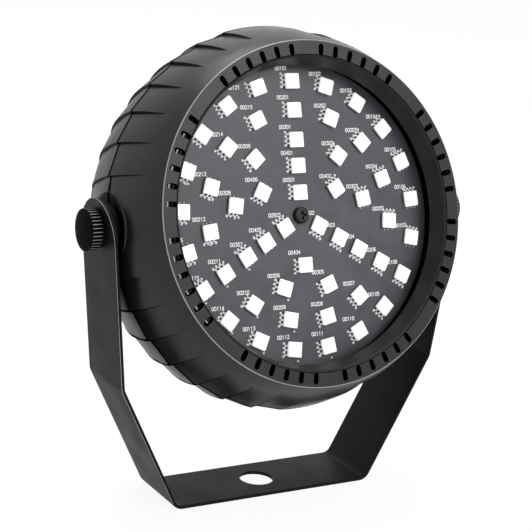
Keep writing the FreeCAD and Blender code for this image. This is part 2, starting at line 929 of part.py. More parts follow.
def can(radius, length, place):
    """A round capacitor with the crimped groove near its foot."""
    x, z = place
    body = post(radius, driver_back_depth, driver_back_depth + length, x, z)
    groove_start = driver_back_depth + length * capacitor_crimp_share
    groove_end = groove_start + capacitor_crimp * 2
    groove = post(radius + overrun, groove_start, groove_end, x, z)
    groove = groove.cut(post(radius - capacitor_crimp, groove_start - overrun,
                             groove_end + overrun, x, z))
    return body.cut(groove)


def choke():
    """A drum-core choke."""
    x, z = choke_place
    return united([
        post(choke_radius, driver_back_depth, driver_back_depth + choke_length / 4, x, z),
        post(choke_radius - choke_waist, driver_back_depth, driver_back_depth + choke_length, x, z),
        post(choke_radius, driver_back_depth + choke_length * 3 / 4,
             driver_back_depth + choke_length, x, z),
    ])


def fuse():
    """A glass fuse in its two clips."""
    centre_depth = driver_back_depth + fuse_radius + gap
    barrel = side_post(fuse_radius - gap, -fuse_length / 2, fuse_length / 2, centre_depth, fuse_height)
    clip_centre = fuse_length / 2 - fuse_clip_width / 2
    caps = []
    for x in (-clip_centre, clip_centre):
        caps.append(slab(fuse_clip_width, 2 * fuse_radius, driver_back_depth,
                         centre_depth + fuse_radius, x, fuse_height))
    return united([barrel] + caps)


# Control panel

def button_places():
    """The four buttons in a row, from the left as seen from the front."""
    count = len(button_names)
    return [(index - (count - 1) / 2) * button_pitch for index in range(count)]


def control_panel():
    """The plate in the back, with its window opening and button holes."""
    plate = rounded_slab(panel_width, panel_height, panel_corner - gap / 2, panel_floor_depth,
                         panel_floor_depth + panel_thickness, 0, panel_centre_height)
    openings = [slab(display_width, display_height, panel_floor_depth - overrun,
                     back_depth + overrun, 0, display_centre_height)]
    for x in button_places():
        openings.append(post(button_radius + skin + slip, panel_floor_depth - overrun,
                             back_depth + overrun, x, button_height))
    return drilled(plate, openings)


def display_window():
    """The smoked window in the panel's opening, in front of the display."""
    return slab(display_width - skin, display_height - skin, panel_floor_depth,
                panel_floor_depth + window_thickness, 0, display_centre_height)


def display_module():
    """The four-digit display on the panel board."""
    return slab(display_width - gap, display_height - gap, panel_board_depth,
                display_front_depth, 0, display_centre_height)


def panel_board():
    """The board behind the panel."""
    board = slab(panel_board_width, panel_board_height, panel_board_front_depth,
                 panel_board_depth, 0, panel_centre_height)
    holes = [post(small_screw_hole_radius, panel_board_front_depth - overrun,
                  panel_board_depth + overrun, x, z) for x, z in panel_post_places()]
    return drilled(board, holes)


def panel_screws():
    """Screws that hold the panel board on its posts."""
    tip = panel_board_depth + small_screw_bite
    return joined([small_screw(panel_board_front_depth, tip, x, z)
                   for x, z in panel_post_places()])


def switch_top_depth():
    """The depth at which the switches' plungers end."""
    return panel_board_depth + switch_height + switch_plunger_height


def tact_switches():
    """One small switch under each button."""
    switches = []
    for x in button_places():
        body_end = panel_board_depth + switch_height
        body = slab(switch_side, switch_side, panel_board_depth, body_end, x, button_height)
        plunger = post(switch_plunger_radius, body_end, switch_top_depth(), x, button_height)
        switches.append(united([body, plunger]))
    return joined(switches)


def button(x):
    """A push button: cap, flange behind the wall and a short stem."""
    flange_end = inner_back_depth - gap
    flange_start = flange_end - button_flange_thickness
    cap_end = panel_floor_depth + panel_thickness + button_proud
    cap = post(button_radius, flange_start, cap_end, x, button_height)
    rim = [edge for edge in cap.Edges if abs(edge.CenterOfMass.y - cap_end) < skin]
    cap = cap.makeFillet(button_dome, rim)
    flange = post(button_flange_radius, flange_start, flange_end, x, button_height)
    stem_start = switch_top_depth() + button_stem_clearance
    stem = post(button_stem_radius, stem_start, flange_end, x, button_height)
    return united([cap, flange, stem])


def microphone():
    """The microphone capsule behind its small hole."""
    x, z = microphone_place
    return post(microphone_radius, inner_back_depth - microphone_length, inner_back_depth, x, z)


# Mains inlet

def inlet_lobes(start, end):
    """The space of a two-lobed connector."""
    half = inlet_pin_pitch / 2
    lobes = [post(inlet_lobe_radius, start, end, x, inlet_height) for x in (-half, half)]
    bridge = slab(inlet_pin_pitch, inlet_lobe_radius * 1.5, start, end, 0, inlet_height)
    return united(lobes + [bridge])


def mains_inlet():
    """The socket: flange, body and its two-lobed cavity."""
    flange_end = back_depth + inlet_flange_thickness
    flange = rounded_slab(inlet_flange_width, inlet_flange_height, inlet_flange_corner,
                          back_depth, flange_end, 0, inlet_height)
    body = slab(inlet_body_width, inlet_body_height, back_depth - inlet_body_depth, back_depth,
                0, inlet_height)
    cavity = inlet_lobes(flange_end - inlet_cavity_depth, flange_end + overrun)
    half = inlet_pin_pitch / 2
    holes = [post(inlet_pin_radius + skin / 2, back_depth - inlet_body_depth - overrun,
                  back_depth, x, inlet_height) for x in (-half, half)]
    return drilled(united([flange, body]), [cavity] + holes)


def inlet_tag_depth():
    """Where the inlet's solder tags end inside."""
    return back_depth - inlet_body_depth - inlet_tag_length


def inlet_pins():
    """The two round contacts, from their solder tags to their tips."""
    flange_end = back_depth + inlet_flange_thickness
    tip = flange_end - inlet_cavity_depth + inlet_pin_reach
    half = inlet_pin_pitch / 2
    return joined([post(inlet_pin_radius, inlet_tag_depth(), tip, x, inlet_height)
                   for x in (-half, half)])


# Wires

def inlet_wires():
    """Two wires from the inlet's tags to the driver board."""
    wires = []
    middle = (inlet_tag_depth() + driver_back_depth) / 2
    for side in (-1, 1):
        tag_x = side * inlet_pin_pitch / 2
        land_x = side * inlet_wire_landing_spread
        wires.append(bent_wire([
            Vector(tag_x, inlet_tag_depth(), inlet_height),
            Vector(tag_x, middle, inlet_height),
            Vector(land_x, middle, inlet_wire_landing_height),
            Vector(land_x, driver_back_depth, inlet_wire_landing_height),
        ], wire_radius, wire_bend))
    return joined(wires)


def led_wires():
    """Two wires from the driver board through the heat sink to the LED board."""
    wires = []
    middle = (driver_depth + sink_back_depth + sink_fin_height) / 2
    for side in (-1, 1):
        x = side * led_wire_spread
        wires.append(bent_wire([
            Vector(x, driver_depth, led_wire_driver_height),
            Vector(x, middle, led_wire_driver_height),
            Vector(x, middle, led_wire_entry_height),
            Vector(x, board_back_depth, led_wire_entry_height),
        ], wire_radius, wire_bend))
    return joined(wires)


def panel_wires():
    """Wires from the driver board to the panel board."""
    wires = []
    middle = (driver_back_depth + panel_board_front_depth) / 2
    for index in range(panel_wire_count):
        x = (index - (panel_wire_count - 1) / 2) * panel_wire_pitch
        wires.append(bent_wire([
            Vector(x, panel_board_front_depth, panel_wire_height),
            Vector(x, middle, panel_wire_height),
            Vector(x, middle, panel_wire_landing_height),
            Vector(x, driver_back_depth, panel_wire_landing_height),
        ], wire_radius, wire_bend))
    return joined(wires)


# Yoke, in the frame of the whole part

def strip_half():
    """The right half of the bent strip, from the middle of its base to past the pivot."""
    slant = math.radians(slant_lean)
    lean = math.radians(arm_lean)
    tip_length = arm_length + arm_tip_above_pivot + strip_thickness
    corner = Vector(base_half_length, 0, strip_half_thickness)
    knee = corner + Vector(math.sin(slant), 0, math.cos(slant)) * slant_length
    tip = knee + Vector(math.sin(lean), 0, math.cos(lean)) * tip_length
    runs = [Vector(0, 0, strip_half_thickness), corner, knee, tip]
    edges = []
    start = runs[0]
    for index in (1, 2):
        before = (runs[index - 1] - runs[index]).normalize()
        after = (runs[index + 1] - runs[index]).normalize()
        turn = math.pi - before.getAngle(after)
        setback = bend_radius * math.tan(turn / 2)
        arc_start = runs[index] + before * setback
        arc_end = runs[index] + after * setback
        inward = (before + after).normalize()
        arc_middle = runs[index] + inward * (bend_radius / math.cos(turn / 2) - bend_radius)
        edges.append(Part.makeLine(start, arc_start))
        edges.append(Part.Arc(arc_start, arc_middle, arc_end).toShape())
        start = arc_end
    edges.append(Part.makeLine(start, tip))
    section = rounded_outline(strip_width, strip_thickness, strip_edge_radius)
    section.rotate(Vector(0, 0, 0), Vector(0, 0, 1), quarter_turn)
    section.translate(runs[0])
    return Part.Wire(edges).makePipeShell([section], True, False)


def yoke():
    """The bent strip with round arm ends, the fixing hole and the two pivot holes."""
    right = strip_half()
    left = right.mirror(Vector(0, 0, 0), Vector(1, 0, 0))
    strip = united([right, left])
    reach = 2 * pivot_half_distance
    end_radius = strip_width / 2
    end_centre = pivot_height + arm_tip_above_pivot - end_radius
    keep_box = Part.makeBox(2 * reach, 2 * reach, end_centre + overrun,
                            Vector(-reach, -reach, -overrun))
    keep_round = side_post(end_radius, -reach, reach, 0, end_centre)
    strip = strip.common(keep_box.fuse(keep_round))
    fixing = Part.makeCylinder(fixing_hole_radius, strip_thickness + 2 * overrun,
                               Vector(0, 0, -overrun), Vector(0, 0, 1))
    pivots = side_post(stud_radius + skin, -reach, reach, 0, pivot_height)
    return strip.cut(fixing).cut(pivots)


def beside_arm(side, outward):
    """The space on one side of an arm: outward of its middle plane by half its thickness."""
    size = 2 * pivot_height
    if outward:
        corner = Vector(-strip_half_thickness, -size / 2, -size / 2)
    else:
        corner = Vector(strip_half_thickness - size, -size / 2, -size / 2)
    block = Part.makeBox(size, size, size, corner)
    block.rotate(Vector(0, 0, 0), Vector(0, 1, 0), arm_lean)
    block.translate(Vector(pivot_half_distance, 0, pivot_height))
    return block if side > 0 else block.mirror(Vector(0, 0, 0), Vector(1, 0, 0))


def mirrored_post(side, radius, start, end):
    """A cylinder on the pivot line, measured outward from the middle."""
    if side > 0:
        return side_post(radius, start, end, 0, pivot_height)
    return side_post(radius, -end, -start, 0, pivot_height)


def pivot_washer(side):
    """The tapered washer between the head's pad and the leaning arm."""
    body = mirrored_post(side, pivot_washer_radius, pad_half_distance + skin, knob_base)
    bore = mirrored_post(side, stud_radius + skin, pad_half_distance - overrun, knob_base + overrun)
    return body.cut(beside_arm(side, True)).cut(bore)


def knob_washer(side):
    """The tapered washer between the leaning arm and the knob."""
    body = mirrored_post(side, knob_washer_radius, pad_half_distance, knob_base - skin)
    bore = mirrored_post(side, stud_radius + skin, pad_half_distance - overrun, knob_base + overrun)
    return body.cut(beside_arm(side, False)).cut(bore)


def knob(side):
    """A domed clamp knob with ribs round its side and a blind hole for its stud."""
    dome_x = knob_side_height + (knob_height - knob_side_height) * knob_dome_share[0]
    dome_radius = knob_radius * knob_dome_share[1]
    envelope = revolved([
        (0, 0),
        (knob_radius, 0),
        (knob_radius, knob_side_height),
        (dome_radius, dome_x, 0, knob_height),
    ])
    ribbed = rib_outline().extrude(Vector(0, knob_height, 0))
    body = envelope.common(ribbed)
    hole = post(stud_radius + skin / 2, -overrun, stud_depth_in_knob)
    return knob_placed(body.cut(hole), side)


def rib_outline():
    """The ribbed cross-section of a knob."""
    pitch = full_turn / knob_rib_count
    crest = pitch * knob_rib_crest_share / 2
    slope = pitch / 8
    points = []
    for index in range(knob_rib_count):
        centre = pitch * index
        corners = ((centre - crest - slope, knob_radius - knob_rib_depth),
                   (centre - crest, knob_radius),
                   (centre + crest, knob_radius),
                   (centre + crest + slope, knob_radius - knob_rib_depth))
        for angle, radius in corners:
            turn = math.radians(angle)
            points.append(Vector(radius * math.sin(turn), 0, radius * math.cos(turn)))
    return Part.Face(Part.makePolygon(points + [points[0]]))


def knob_placed(shape, side):
    """Turn a piece drawn along +Y to point outward and set it on the pivot line."""
    placed = shape.copy()
    placed.rotate(Vector(0, 0, 0), Vector(0, 0, 1), -side * quarter_turn)
    placed.translate(Vector(side * knob_base, 0, pivot_height))
    return placed


def knob_stud(side):
    """The steel stud from the insert, through washers and arm, into the knob."""
    inner_end = pad_half_distance - stud_engagement
    return mirrored_post(side, stud_radius, inner_end, knob_base + stud_depth_in_knob - gap)


def tilted(shape):
    """A piece of the head, moved from the head's frame to its place in the yoke."""
    placed = shape.copy()
    placed.translate(Vector(0, -pivot_depth, 0))
    placed.rotate(Vector(0, 0, 0), Vector(1, 0, 0), -rest_tilt)
    placed.translate(Vector(0, 0, pivot_height))
    return placed


def head_pieces():
    """Every node of the head in the head's frame."""
    pieces = {
        "front_housing": front_housing(),
        "front_cover": front_cover(),
        "cover_gasket": cover_gasket(),
        "spacer_ring": spacer_ring(),
        "led_board": led_board(),
        "centre_screw": centre_screw(),
        "heat_sink": heat_sink(),
        "sink_screws": sink_screws(),
        "rear_housing": rear_housing(),
        "shell_screws": shell_screws(),
        "pivot_insert_left": pivot_insert(-1),
        "pivot_insert_right": pivot_insert(1),
        "driver_board": driver_board(),
        "driver_screws": driver_screws(),
        "transformer": transformer(),
        "bulk_capacitor": can(capacitor_radius, capacitor_length, capacitor_place),
        "output_capacitor": can(output_capacitor_radius, output_capacitor_length,
                                output_capacitor_place),
        "choke": choke(),
        "fuse": fuse(),
        "control_panel": control_panel(),
        "display_window": display_window(),
        "display_module": display_module(),
        "panel_board": panel_board(),
        "panel_screws": panel_screws(),
        "tact_switches": tact_switches(),
        "microphone": microphone(),
        "mains_inlet": mains_inlet(),
        "inlet_pins": inlet_pins(),
        "inlet_wires": inlet_wires(),
        "led_wires": led_wires(),
        "panel_wires": panel_wires(),
    }
    for number, (radius, count) in enumerate(led_rings, start=1):
        pieces["led_ring_" + str(number)] = led_ring(radius, count)
    for name, x in zip(button_names, button_places()):
        pieces["button_" + name] = button(x)
    return pieces


def yoke_pieces():
    """Every node of the yoke and the clamp knobs in the part's frame."""
    pieces = {"yoke": yoke()}
    for side, word in ((-1, "left"), (1, "right")):
        pieces["pivot_washer_" + word] = pivot_washer(side)
        pieces["knob_washer_" + word] = knob_washer(side)
        pieces["knob_" + word] = knob(side)
        pieces["knob_stud_" + word] = knob_stud(side)
    return pieces


os.makedirs("parts", exist_ok=True)
nodes = yoke_pieces()
for name, shape in head_pieces().items():
    nodes[name] = tilted(shape)
for name, shape in nodes.items():
    shape.exportStep("parts/" + name + ".step")
    print(name, len(shape.Solids), "solids, volume", round(shape.Volume, 1), shape.isValid())
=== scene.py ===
import bpy
import bmesh
import math
import json
import numpy as np
from mathutils import Euler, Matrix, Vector


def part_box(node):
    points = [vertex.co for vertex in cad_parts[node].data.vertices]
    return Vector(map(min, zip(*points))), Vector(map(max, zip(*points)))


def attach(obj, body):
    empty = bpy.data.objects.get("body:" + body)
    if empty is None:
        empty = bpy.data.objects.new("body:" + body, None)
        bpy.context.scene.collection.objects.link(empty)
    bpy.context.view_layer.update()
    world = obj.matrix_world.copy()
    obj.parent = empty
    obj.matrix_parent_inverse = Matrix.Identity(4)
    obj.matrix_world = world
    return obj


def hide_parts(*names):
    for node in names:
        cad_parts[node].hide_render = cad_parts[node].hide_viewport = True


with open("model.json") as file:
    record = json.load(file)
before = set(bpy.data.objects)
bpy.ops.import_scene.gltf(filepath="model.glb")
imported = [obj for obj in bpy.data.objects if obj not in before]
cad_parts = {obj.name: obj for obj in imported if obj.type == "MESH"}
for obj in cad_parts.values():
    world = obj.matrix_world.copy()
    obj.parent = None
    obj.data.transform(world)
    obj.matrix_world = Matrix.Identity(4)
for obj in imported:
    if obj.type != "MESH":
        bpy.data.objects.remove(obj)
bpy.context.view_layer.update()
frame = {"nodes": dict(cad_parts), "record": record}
scene = bpy.context.scene
nodes = frame["nodes"]

# The head's own frame, in millimetres: x to the right as seen from the front, the depth
# behind the front face, and z up. A clock angle runs clockwise from the top, in degrees.
MILLIMETRE = 0.001
REST_TILT = math.radians(17.3)
PIVOT_DEPTH = 25.6
PIVOT_HEIGHT = 95.229
MERGE_DISTANCE = 1e-7  # in metres

BOARD_DEPTH = 11.3
BOARD_EDGE = 49.3  # print and lone beads stay inside this radius
LED_HEIGHT = 1.6
LED_HALF = 2.5
LED_RINGS = ((44.0, 21), (34.5, 15), (24.8, 9), (16.3, 6), (7.5, 3))  # radius and count


def head_direction_to_row(directions):
    """Directions (x, depth, z) in the head's frame as directions in the row's frame."""
    x, depth, z = np.asarray(directions, float).T
    row_y = depth * math.cos(REST_TILT) + z * math.sin(REST_TILT)
    row_z = -depth * math.sin(REST_TILT) + z * math.cos(REST_TILT)
    return np.stack([x, row_y, row_z], axis=1)


def row_direction_to_head(directions):
    """Directions in the row's frame as directions (x, depth, z) in the head's frame."""
    x, row_y, row_z = np.asarray(directions, float).T
    depth = row_y * math.cos(REST_TILT) - row_z * math.sin(REST_TILT)
    z = row_y * math.sin(REST_TILT) + row_z * math.cos(REST_TILT)
    return np.stack([x, depth, z], axis=1)


def head_to_row(points):
    """Points (x, depth, z) in the head's frame, in millimetres, as row points in metres."""
    row = head_direction_to_row(np.asarray(points, float) - (0.0, PIVOT_DEPTH, 0.0))
    return (row + (0.0, 0.0, PIVOT_HEIGHT)) * MILLIMETRE


def row_to_head(points):
    """Row points in metres as points (x, depth, z) in the head's frame, in millimetres."""
    row = np.asarray(points, float) / MILLIMETRE - (0.0, 0.0, PIVOT_HEIGHT)
    return row_direction_to_head(row) + (0.0, PIVOT_DEPTH, 0.0)


# Camera at the photograph's viewing angle

SENSOR_WIDTH = 36.0
FOCAL_LENGTH = 110.94
NEAREST = 0.01
FARTHEST = 50.0
CAMERA_PLACE = (-0.28232929, -0.45339198, 0.22512717)
CAMERA_DEGREES = (74.56543262, -4.54608505, -30.37107863)


def add_camera():
    data = bpy.data.cameras.new("camera")
    data.sensor_width = SENSOR_WIDTH
    data.lens = FOCAL_LENGTH
    data.clip_start = NEAREST
    data.clip_end = FARTHEST
    camera = bpy.data.objects.new("camera", data)
    camera.location = CAMERA_PLACE
    camera.rotation_euler = Euler([math.radians(value) for value in CAMERA_DEGREES], "XYZ")
    scene.collection.objects.link(camera)
    scene.camera = camera


# Shader nodes

WHITE = (1, 1, 1, 1)


def add_node(tree, kind, values=None, **properties):
    """A shader node with its properties and the fixed values of its inputs."""
    node = tree.nodes.new(kind)
    for name, value in properties.items():
        setattr(node, name, value)
    for name, value in (values or {}).items():
        node.inputs[name].default_value = value
    return node


def seen_directly(tree):
    """1 for camera, glossy and transmitted rays, and 0 for light that falls on the object."""
    path = tree.nodes.new("ShaderNodeLightPath")
    seen = path.outputs["Is Camera Ray"]
    for kind in ("Is Glossy Ray", "Is Transmission Ray"):
        either = add_node(tree, "ShaderNodeMath", operation="MAXIMUM")
        tree.links.new(seen, either.inputs[0])
        tree.links.new(path.outputs[kind], either.inputs[1])
        seen = either.outputs[0]
    return seen


def mix_to_output(tree, output, share, first, second):
    """Send a blend of two shaders to the output. A share of 0 shows the first, 1 the second."""
    mix = tree.nodes.new("ShaderNodeMixShader")
    tree.links.new(share, mix.inputs["Fac"])
    tree.links.new(first.outputs[0], mix.inputs[1])
    tree.links.new(second.outputs[0], mix.inputs[2])
    tree.links.new(mix.outputs[0], tree.nodes[output].inputs["Surface"])


def new_material(name):
    material = bpy.data.materials.new(name)
    material.use_nodes = True
    tree = material.node_tree
    return material, tree, tree.nodes["Principled BSDF"]


# Light, floor and world

LIGHT_TARGET = (0, 0, 0.1)
# Name, place, size and power
AREA_LIGHTS = (("top_light", (0.05, 0.3, 0.95), 0.8, 5.6),
               ("front_light", (0.36, -0.9, 0.73), 0.6, 3.5))
SOFT_COLOUR = (0.95, 0.97, 1.0, 1)
SOFT_STRENGTH = 0.54
FLOOR_HALF = 6.0
FLOOR_COLOUR = (0.9, 0.9, 0.9, 1)
FLOOR_ROUGHNESS = 0.9
FLOOR_SPECULAR = 0.1
FLOOR_GLOW = 1.06
FLOOR_GLOW_SHARE = 0.86  # the rest shows the lit paper with its shadow


def add_area_light(name, place, size, power):
    data = bpy.data.lights.new(name, "AREA")
    data.shape = "DISK"
    data.size = size
    data.energy = power
    light = bpy.data.objects.new(name, data)
    light.location = place
    aim = Vector(LIGHT_TARGET) - Vector(place)
    light.rotation_euler = aim.to_track_quat("-Z", "Y").to_euler()
    scene.collection.objects.link(light)


def add_world():
    """Soft light from all round, which is plain white where it is seen directly."""
    world = bpy.data.worlds.new("studio")
    scene.world = world
    world.use_nodes = True
    tree = world.node_tree
    soft = tree.nodes["Background"]
    soft.inputs["Color"].default_value = SOFT_COLOUR
    soft.inputs["Strength"].default_value = SOFT_STRENGTH
    white = add_node(tree, "ShaderNodeBackground", {"Color": WHITE, "Strength": 1.0})
    mix_to_output(tree, "World Output", seen_directly(tree), soft, white)


def add_floor():
    """Pale paper that glows where it is seen directly and keeps a faint shadow."""
    mesh = bpy.data.meshes.new("floor")
    corners = [(x * FLOOR_HALF, y * FLOOR_HALF, 0) for x, y in ((-1, -1), (1, -1), (1, 1), (-1, 1))]
    mesh.from_pydata(corners, [], [(0, 1, 2, 3)])
    floor = bpy.data.objects.new("floor", mesh)
    scene.collection.objects.link(floor)
    material, tree, paper = new_material("floor_paper")
    paper.inputs["Base Color"].default_value = FLOOR_COLOUR
    paper.inputs["Roughness"].default_value = FLOOR_ROUGHNESS
    paper.inputs["Specular IOR Level"].default_value = FLOOR_SPECULAR
    glow = add_node(tree, "ShaderNodeEmission", {"Color": WHITE, "Strength": FLOOR_GLOW})
    share = add_node(tree, "ShaderNodeMath", {1: FLOOR_GLOW_SHARE}, operation="MULTIPLY")
    tree.links.new(seen_directly(tree), share.inputs[0])
    mix_to_output(tree, "Material Output", share.outputs[0], paper, glow)
    mesh.materials.append(material)


# Materials

NOISE_ROUGHNESS = 0.55
RAMP_START = 0.35
RAMP_END = 0.65
CLOUD_SIZE = 0.012
CLOUD_DETAIL = 4.0
GRAIN_DETAIL = 2.0
METAL_GRAIN = 0.0006
METAL_GRAIN_DEPTH = 0.000006
SHEEN_POWER = 5.0

# Dark and light tone (a grey or a colour), lowest and highest roughness, and other values
PLASTICS = {
    "powder_coat": (0.0055, 0.008, 0.42, 0.52,
                    {"grain": 0.0007, "depth": 0.00002, "specular": 0.1}),
    "housing_black": (0.008, 0.011, 0.26, 0.34, {"specular": 0.3}),
    "ring_black": (0.009, 0.012, 0.28, 0.36, {"specular": 0.42}),
    "rear_black": (0.008, 0.011, 0.34, 0.42, {"specular": 0.2}),
    "funnel_black": (0.009, 0.012, 0.5, 0.6, {"specular": 0.3}),
    # Dead black without gloss: painted shade in the slots, the seam, the gap round the board, the
    # lower pad faces and the dark lines of seam and steps.
    "inner_black": (0.0015, 0.0025, 0.85, 0.95, {"specular": 0.0}),
    # Duller copies of the housing plastics that render the step walls between plates, and the upper
    # pad faces, darker: painted shade.
    "front_step_shade": (0.012, 0.016, 0.6, 0.7, {"specular": 0.04}),
    "rear_step_shade": (0.03, 0.038, 0.6, 0.7, {"specular": 0.04}),
    # Pale tone on the rim's chamfer: a painted highlight.
    "rim_painted_highlight": (0.32, 0.42, 0.25, 0.35, {}),
    # Pale tone on the bracket's outer front edge: a painted highlight.
    "bracket_painted_highlight": (0.34, 0.46, 0.3, 0.4, {}),
    # Pale tone on the knobs' rib crests: a painted highlight.
    "rib_painted_highlight": (0.22, 0.3, 0.3, 0.4, {}),
    "knob_plastic": (0.005, 0.008, 0.5, 0.6, {"specular": 0.01}),
    "black_rubber": (0.003, 0.005, 0.6, 0.8, {"specular": 0.1}),
    "component_black": (0.012, 0.02, 0.6, 0.7, {"specular": 0.1}),
    "capacitor_sleeve": ((0.01, 0.02, 0.06), (0.02, 0.03, 0.08), 0.3, 0.4, {}),
    "wire_sleeve": ((0.3, 0.02, 0.02), (0.35, 0.03, 0.03), 0.4, 0.5, {}),
    "inlet_plastic": (0.008, 0.012, 0.35, 0.45, {}),
    "panel_plastic": (0.01, 0.014, 0.35, 0.45, {}),
    "button_plastic": (0.03, 0.04, 0.4, 0.5, {}),
    "lit_segment": ((0.5, 0.02, 0.01), (0.55, 0.03, 0.015), 0.5, 0.6,
                    {"glow": 1.6, "glow_colour": (1.0, 0.05, 0.02)}),
    "unlit_segment": ((0.07, 0.045, 0.045), (0.08, 0.05, 0.05), 0.5, 0.6, {}),
    "circuit_board": ((0.064, 0.063, 0.073), (0.09, 0.088, 0.101), 0.3, 0.42, {}),
    "board_trace": ((0.076, 0.075, 0.086), (0.102, 0.1, 0.113), 0.3, 0.4, {}),
    # The print glows faintly: painted light.
    "board_print": (0.8, 0.9, 0.5, 0.6, {"glow": 0.4}),
    "led_package": (0.8, 0.85, 0.4, 0.5, {"glow": 0.5}),
    "led_lens": (0.9, 0.95, 0.2, 0.3, {"glow": 0.7}),
    # Grey on the lower part of the packages' sides and on the leads beside the small beads: painted
    # shade.
    "led_side_shade": (0.1, 0.16, 0.35, 0.45, {}),
    # The solder glows faintly: painted light from the LEDs.
    "solder": (0.7, 0.85, 0.25, 0.4, {"grain": 0.0003, "glow": 0.12}),
    "sleeve_face": (0.05, 0.06, 0.5, 0.6, {}),
    # The sleeve's front edge is pale and glows: a painted highlight.
    "sleeve_edge_highlight": (0.6, 0.7, 0.5, 0.6, {"glow": 0.35}),
}
# Dark and light tone, and lowest and highest roughness
METALS = {
    "dark_screw": (0.025, 0.05, 0.3, 0.45),
    "bare_aluminium": (0.6, 0.75, 0.3, 0.45),
    "insert_brass": ((0.6, 0.42, 0.16), (0.75, 0.55, 0.25), 0.25, 0.4),
}
# Tint and roughness
SHEETS = {
    "smoked_window": ((0.55, 0.5, 0.5), 0.06),
    "clear_cover": (1.0, 0.08),
}


def rgba(tone):
    """A grey or a colour as an opaque colour."""
    return (*np.broadcast_to(tone, 3).tolist(), 1)


def noise(tree, size, detail):
    """Noise over the object, whose features are about size metres across."""
    place = tree.nodes.new("ShaderNodeTexCoord")
    texture = add_node(tree, "ShaderNodeTexNoise",
                       {"Scale": 1 / size, "Detail": detail, "Roughness": NOISE_ROUGHNESS})
    tree.links.new(place.outputs["Object"], texture.inputs["Vector"])
    return texture.outputs["Fac"]


def ramp(tree, value, low, high):
    """The value turned into a number between low and high."""
    scale = add_node(tree, "ShaderNodeMapRange", {"From Min": RAMP_START, "From Max": RAMP_END,
                                                  "To Min": low, "To Max": high})
    tree.links.new(value, scale.inputs["Value"])
    return scale.outputs["Result"]


def colour_ramp(tree, value, low, high):
    """The value turned into a colour between low and high."""
    blend = tree.nodes.new("ShaderNodeValToRGB")
    tree.links.new(value, blend.inputs["Fac"])
    ends = ((RAMP_START, low), (RAMP_END, high))
    for element, (position, tone) in zip(blend.color_ramp.elements, ends):
        element.position = position
        element.color = rgba(tone)
    return blend.outputs["Color"]


def bump(tree, shader, height, depth):
    node = add_node(tree, "ShaderNodeBump", {"Distance": depth, "Strength": 1.0})
    tree.links.new(height, node.inputs["Height"])
    tree.links.new(node.outputs["Normal"], shader.inputs["Normal"])


def moulded(name, dark, light, smooth, rough, grain=0.00045, depth=0.000012, specular=0.5,
            glow=0.0, glow_colour=1.0):
    """Moulded plastic: a fine spark-eroded grain, cloudy gloss and faint colour drift."""
    material, tree, shader = new_material(name)
    cloud = noise(tree, CLOUD_SIZE, CLOUD_DETAIL)
    tree.links.new(colour_ramp(tree, cloud, dark, light), shader.inputs["Base Color"])
    tree.links.new(ramp(tree, cloud, smooth, rough), shader.inputs["Roughness"])
    shader.inputs["Specular IOR Level"].default_value = specular
    if glow:
        shader.inputs["Emission Color"].default_value = rgba(glow_colour)
        shader.inputs["Emission Strength"].default_value = glow
        material.cycles.emission_sampling = "NONE"
    bump(tree, shader, noise(tree, grain, GRAIN_DETAIL), depth)
    return material


def metal(name, dark, light, smooth, rough):
    material = moulded(name, dark, light, smooth, rough, METAL_GRAIN, METAL_GRAIN_DEPTH)
    material.node_tree.nodes["Principled BSDF"].inputs["Metallic"].default_value = 1.0
    return material


def see_through(name, tint, roughness):
    """A clear or smoked sheet that mirrors the room where it is seen at a low angle."""
    material, tree, plain = new_material(name)
    # The mix below takes the plain shader's place. Its values stay for tools that read them.
    plain.inputs["Base Color"].default_value = rgba(tint)
    plain.inputs["Roughness"].default_value = roughness
    clear = add_node(tree, "ShaderNodeBsdfTransparent", {"Color": rgba(tint)})
    gloss = add_node(tree, "ShaderNodeBsdfGlossy", {"Roughness": roughness})
    angle = add_node(tree, "ShaderNodeLayerWeight", {"Blend": 0.5})
    sheen = add_node(tree, "ShaderNodeMath", {1: SHEEN_POWER}, operation="POWER")
    tree.links.new(angle.outputs["Facing"], sheen.inputs[0])
    mix_to_output(tree, "Material Output", sheen.outputs[0], clear, gloss)
    return material


def make_materials():
    found = {name: moulded(name, *values, **others) for name, (*values, others) in PLASTICS.items()}
    found.update((name, metal(name, *values)) for name, values in METALS.items())
    found.update((name, see_through(name, *values)) for name, values in SHEETS.items())
    return found


def dress_nodes():
    """Give every carried-over CAD node the material of its slot."""
    for subpart in frame["record"]["subparts"]:
        mesh = nodes[subpart["node"]].data
        mesh.materials.clear()
        mesh.materials.append(made[subpart["material_slot"]])


# Meshes

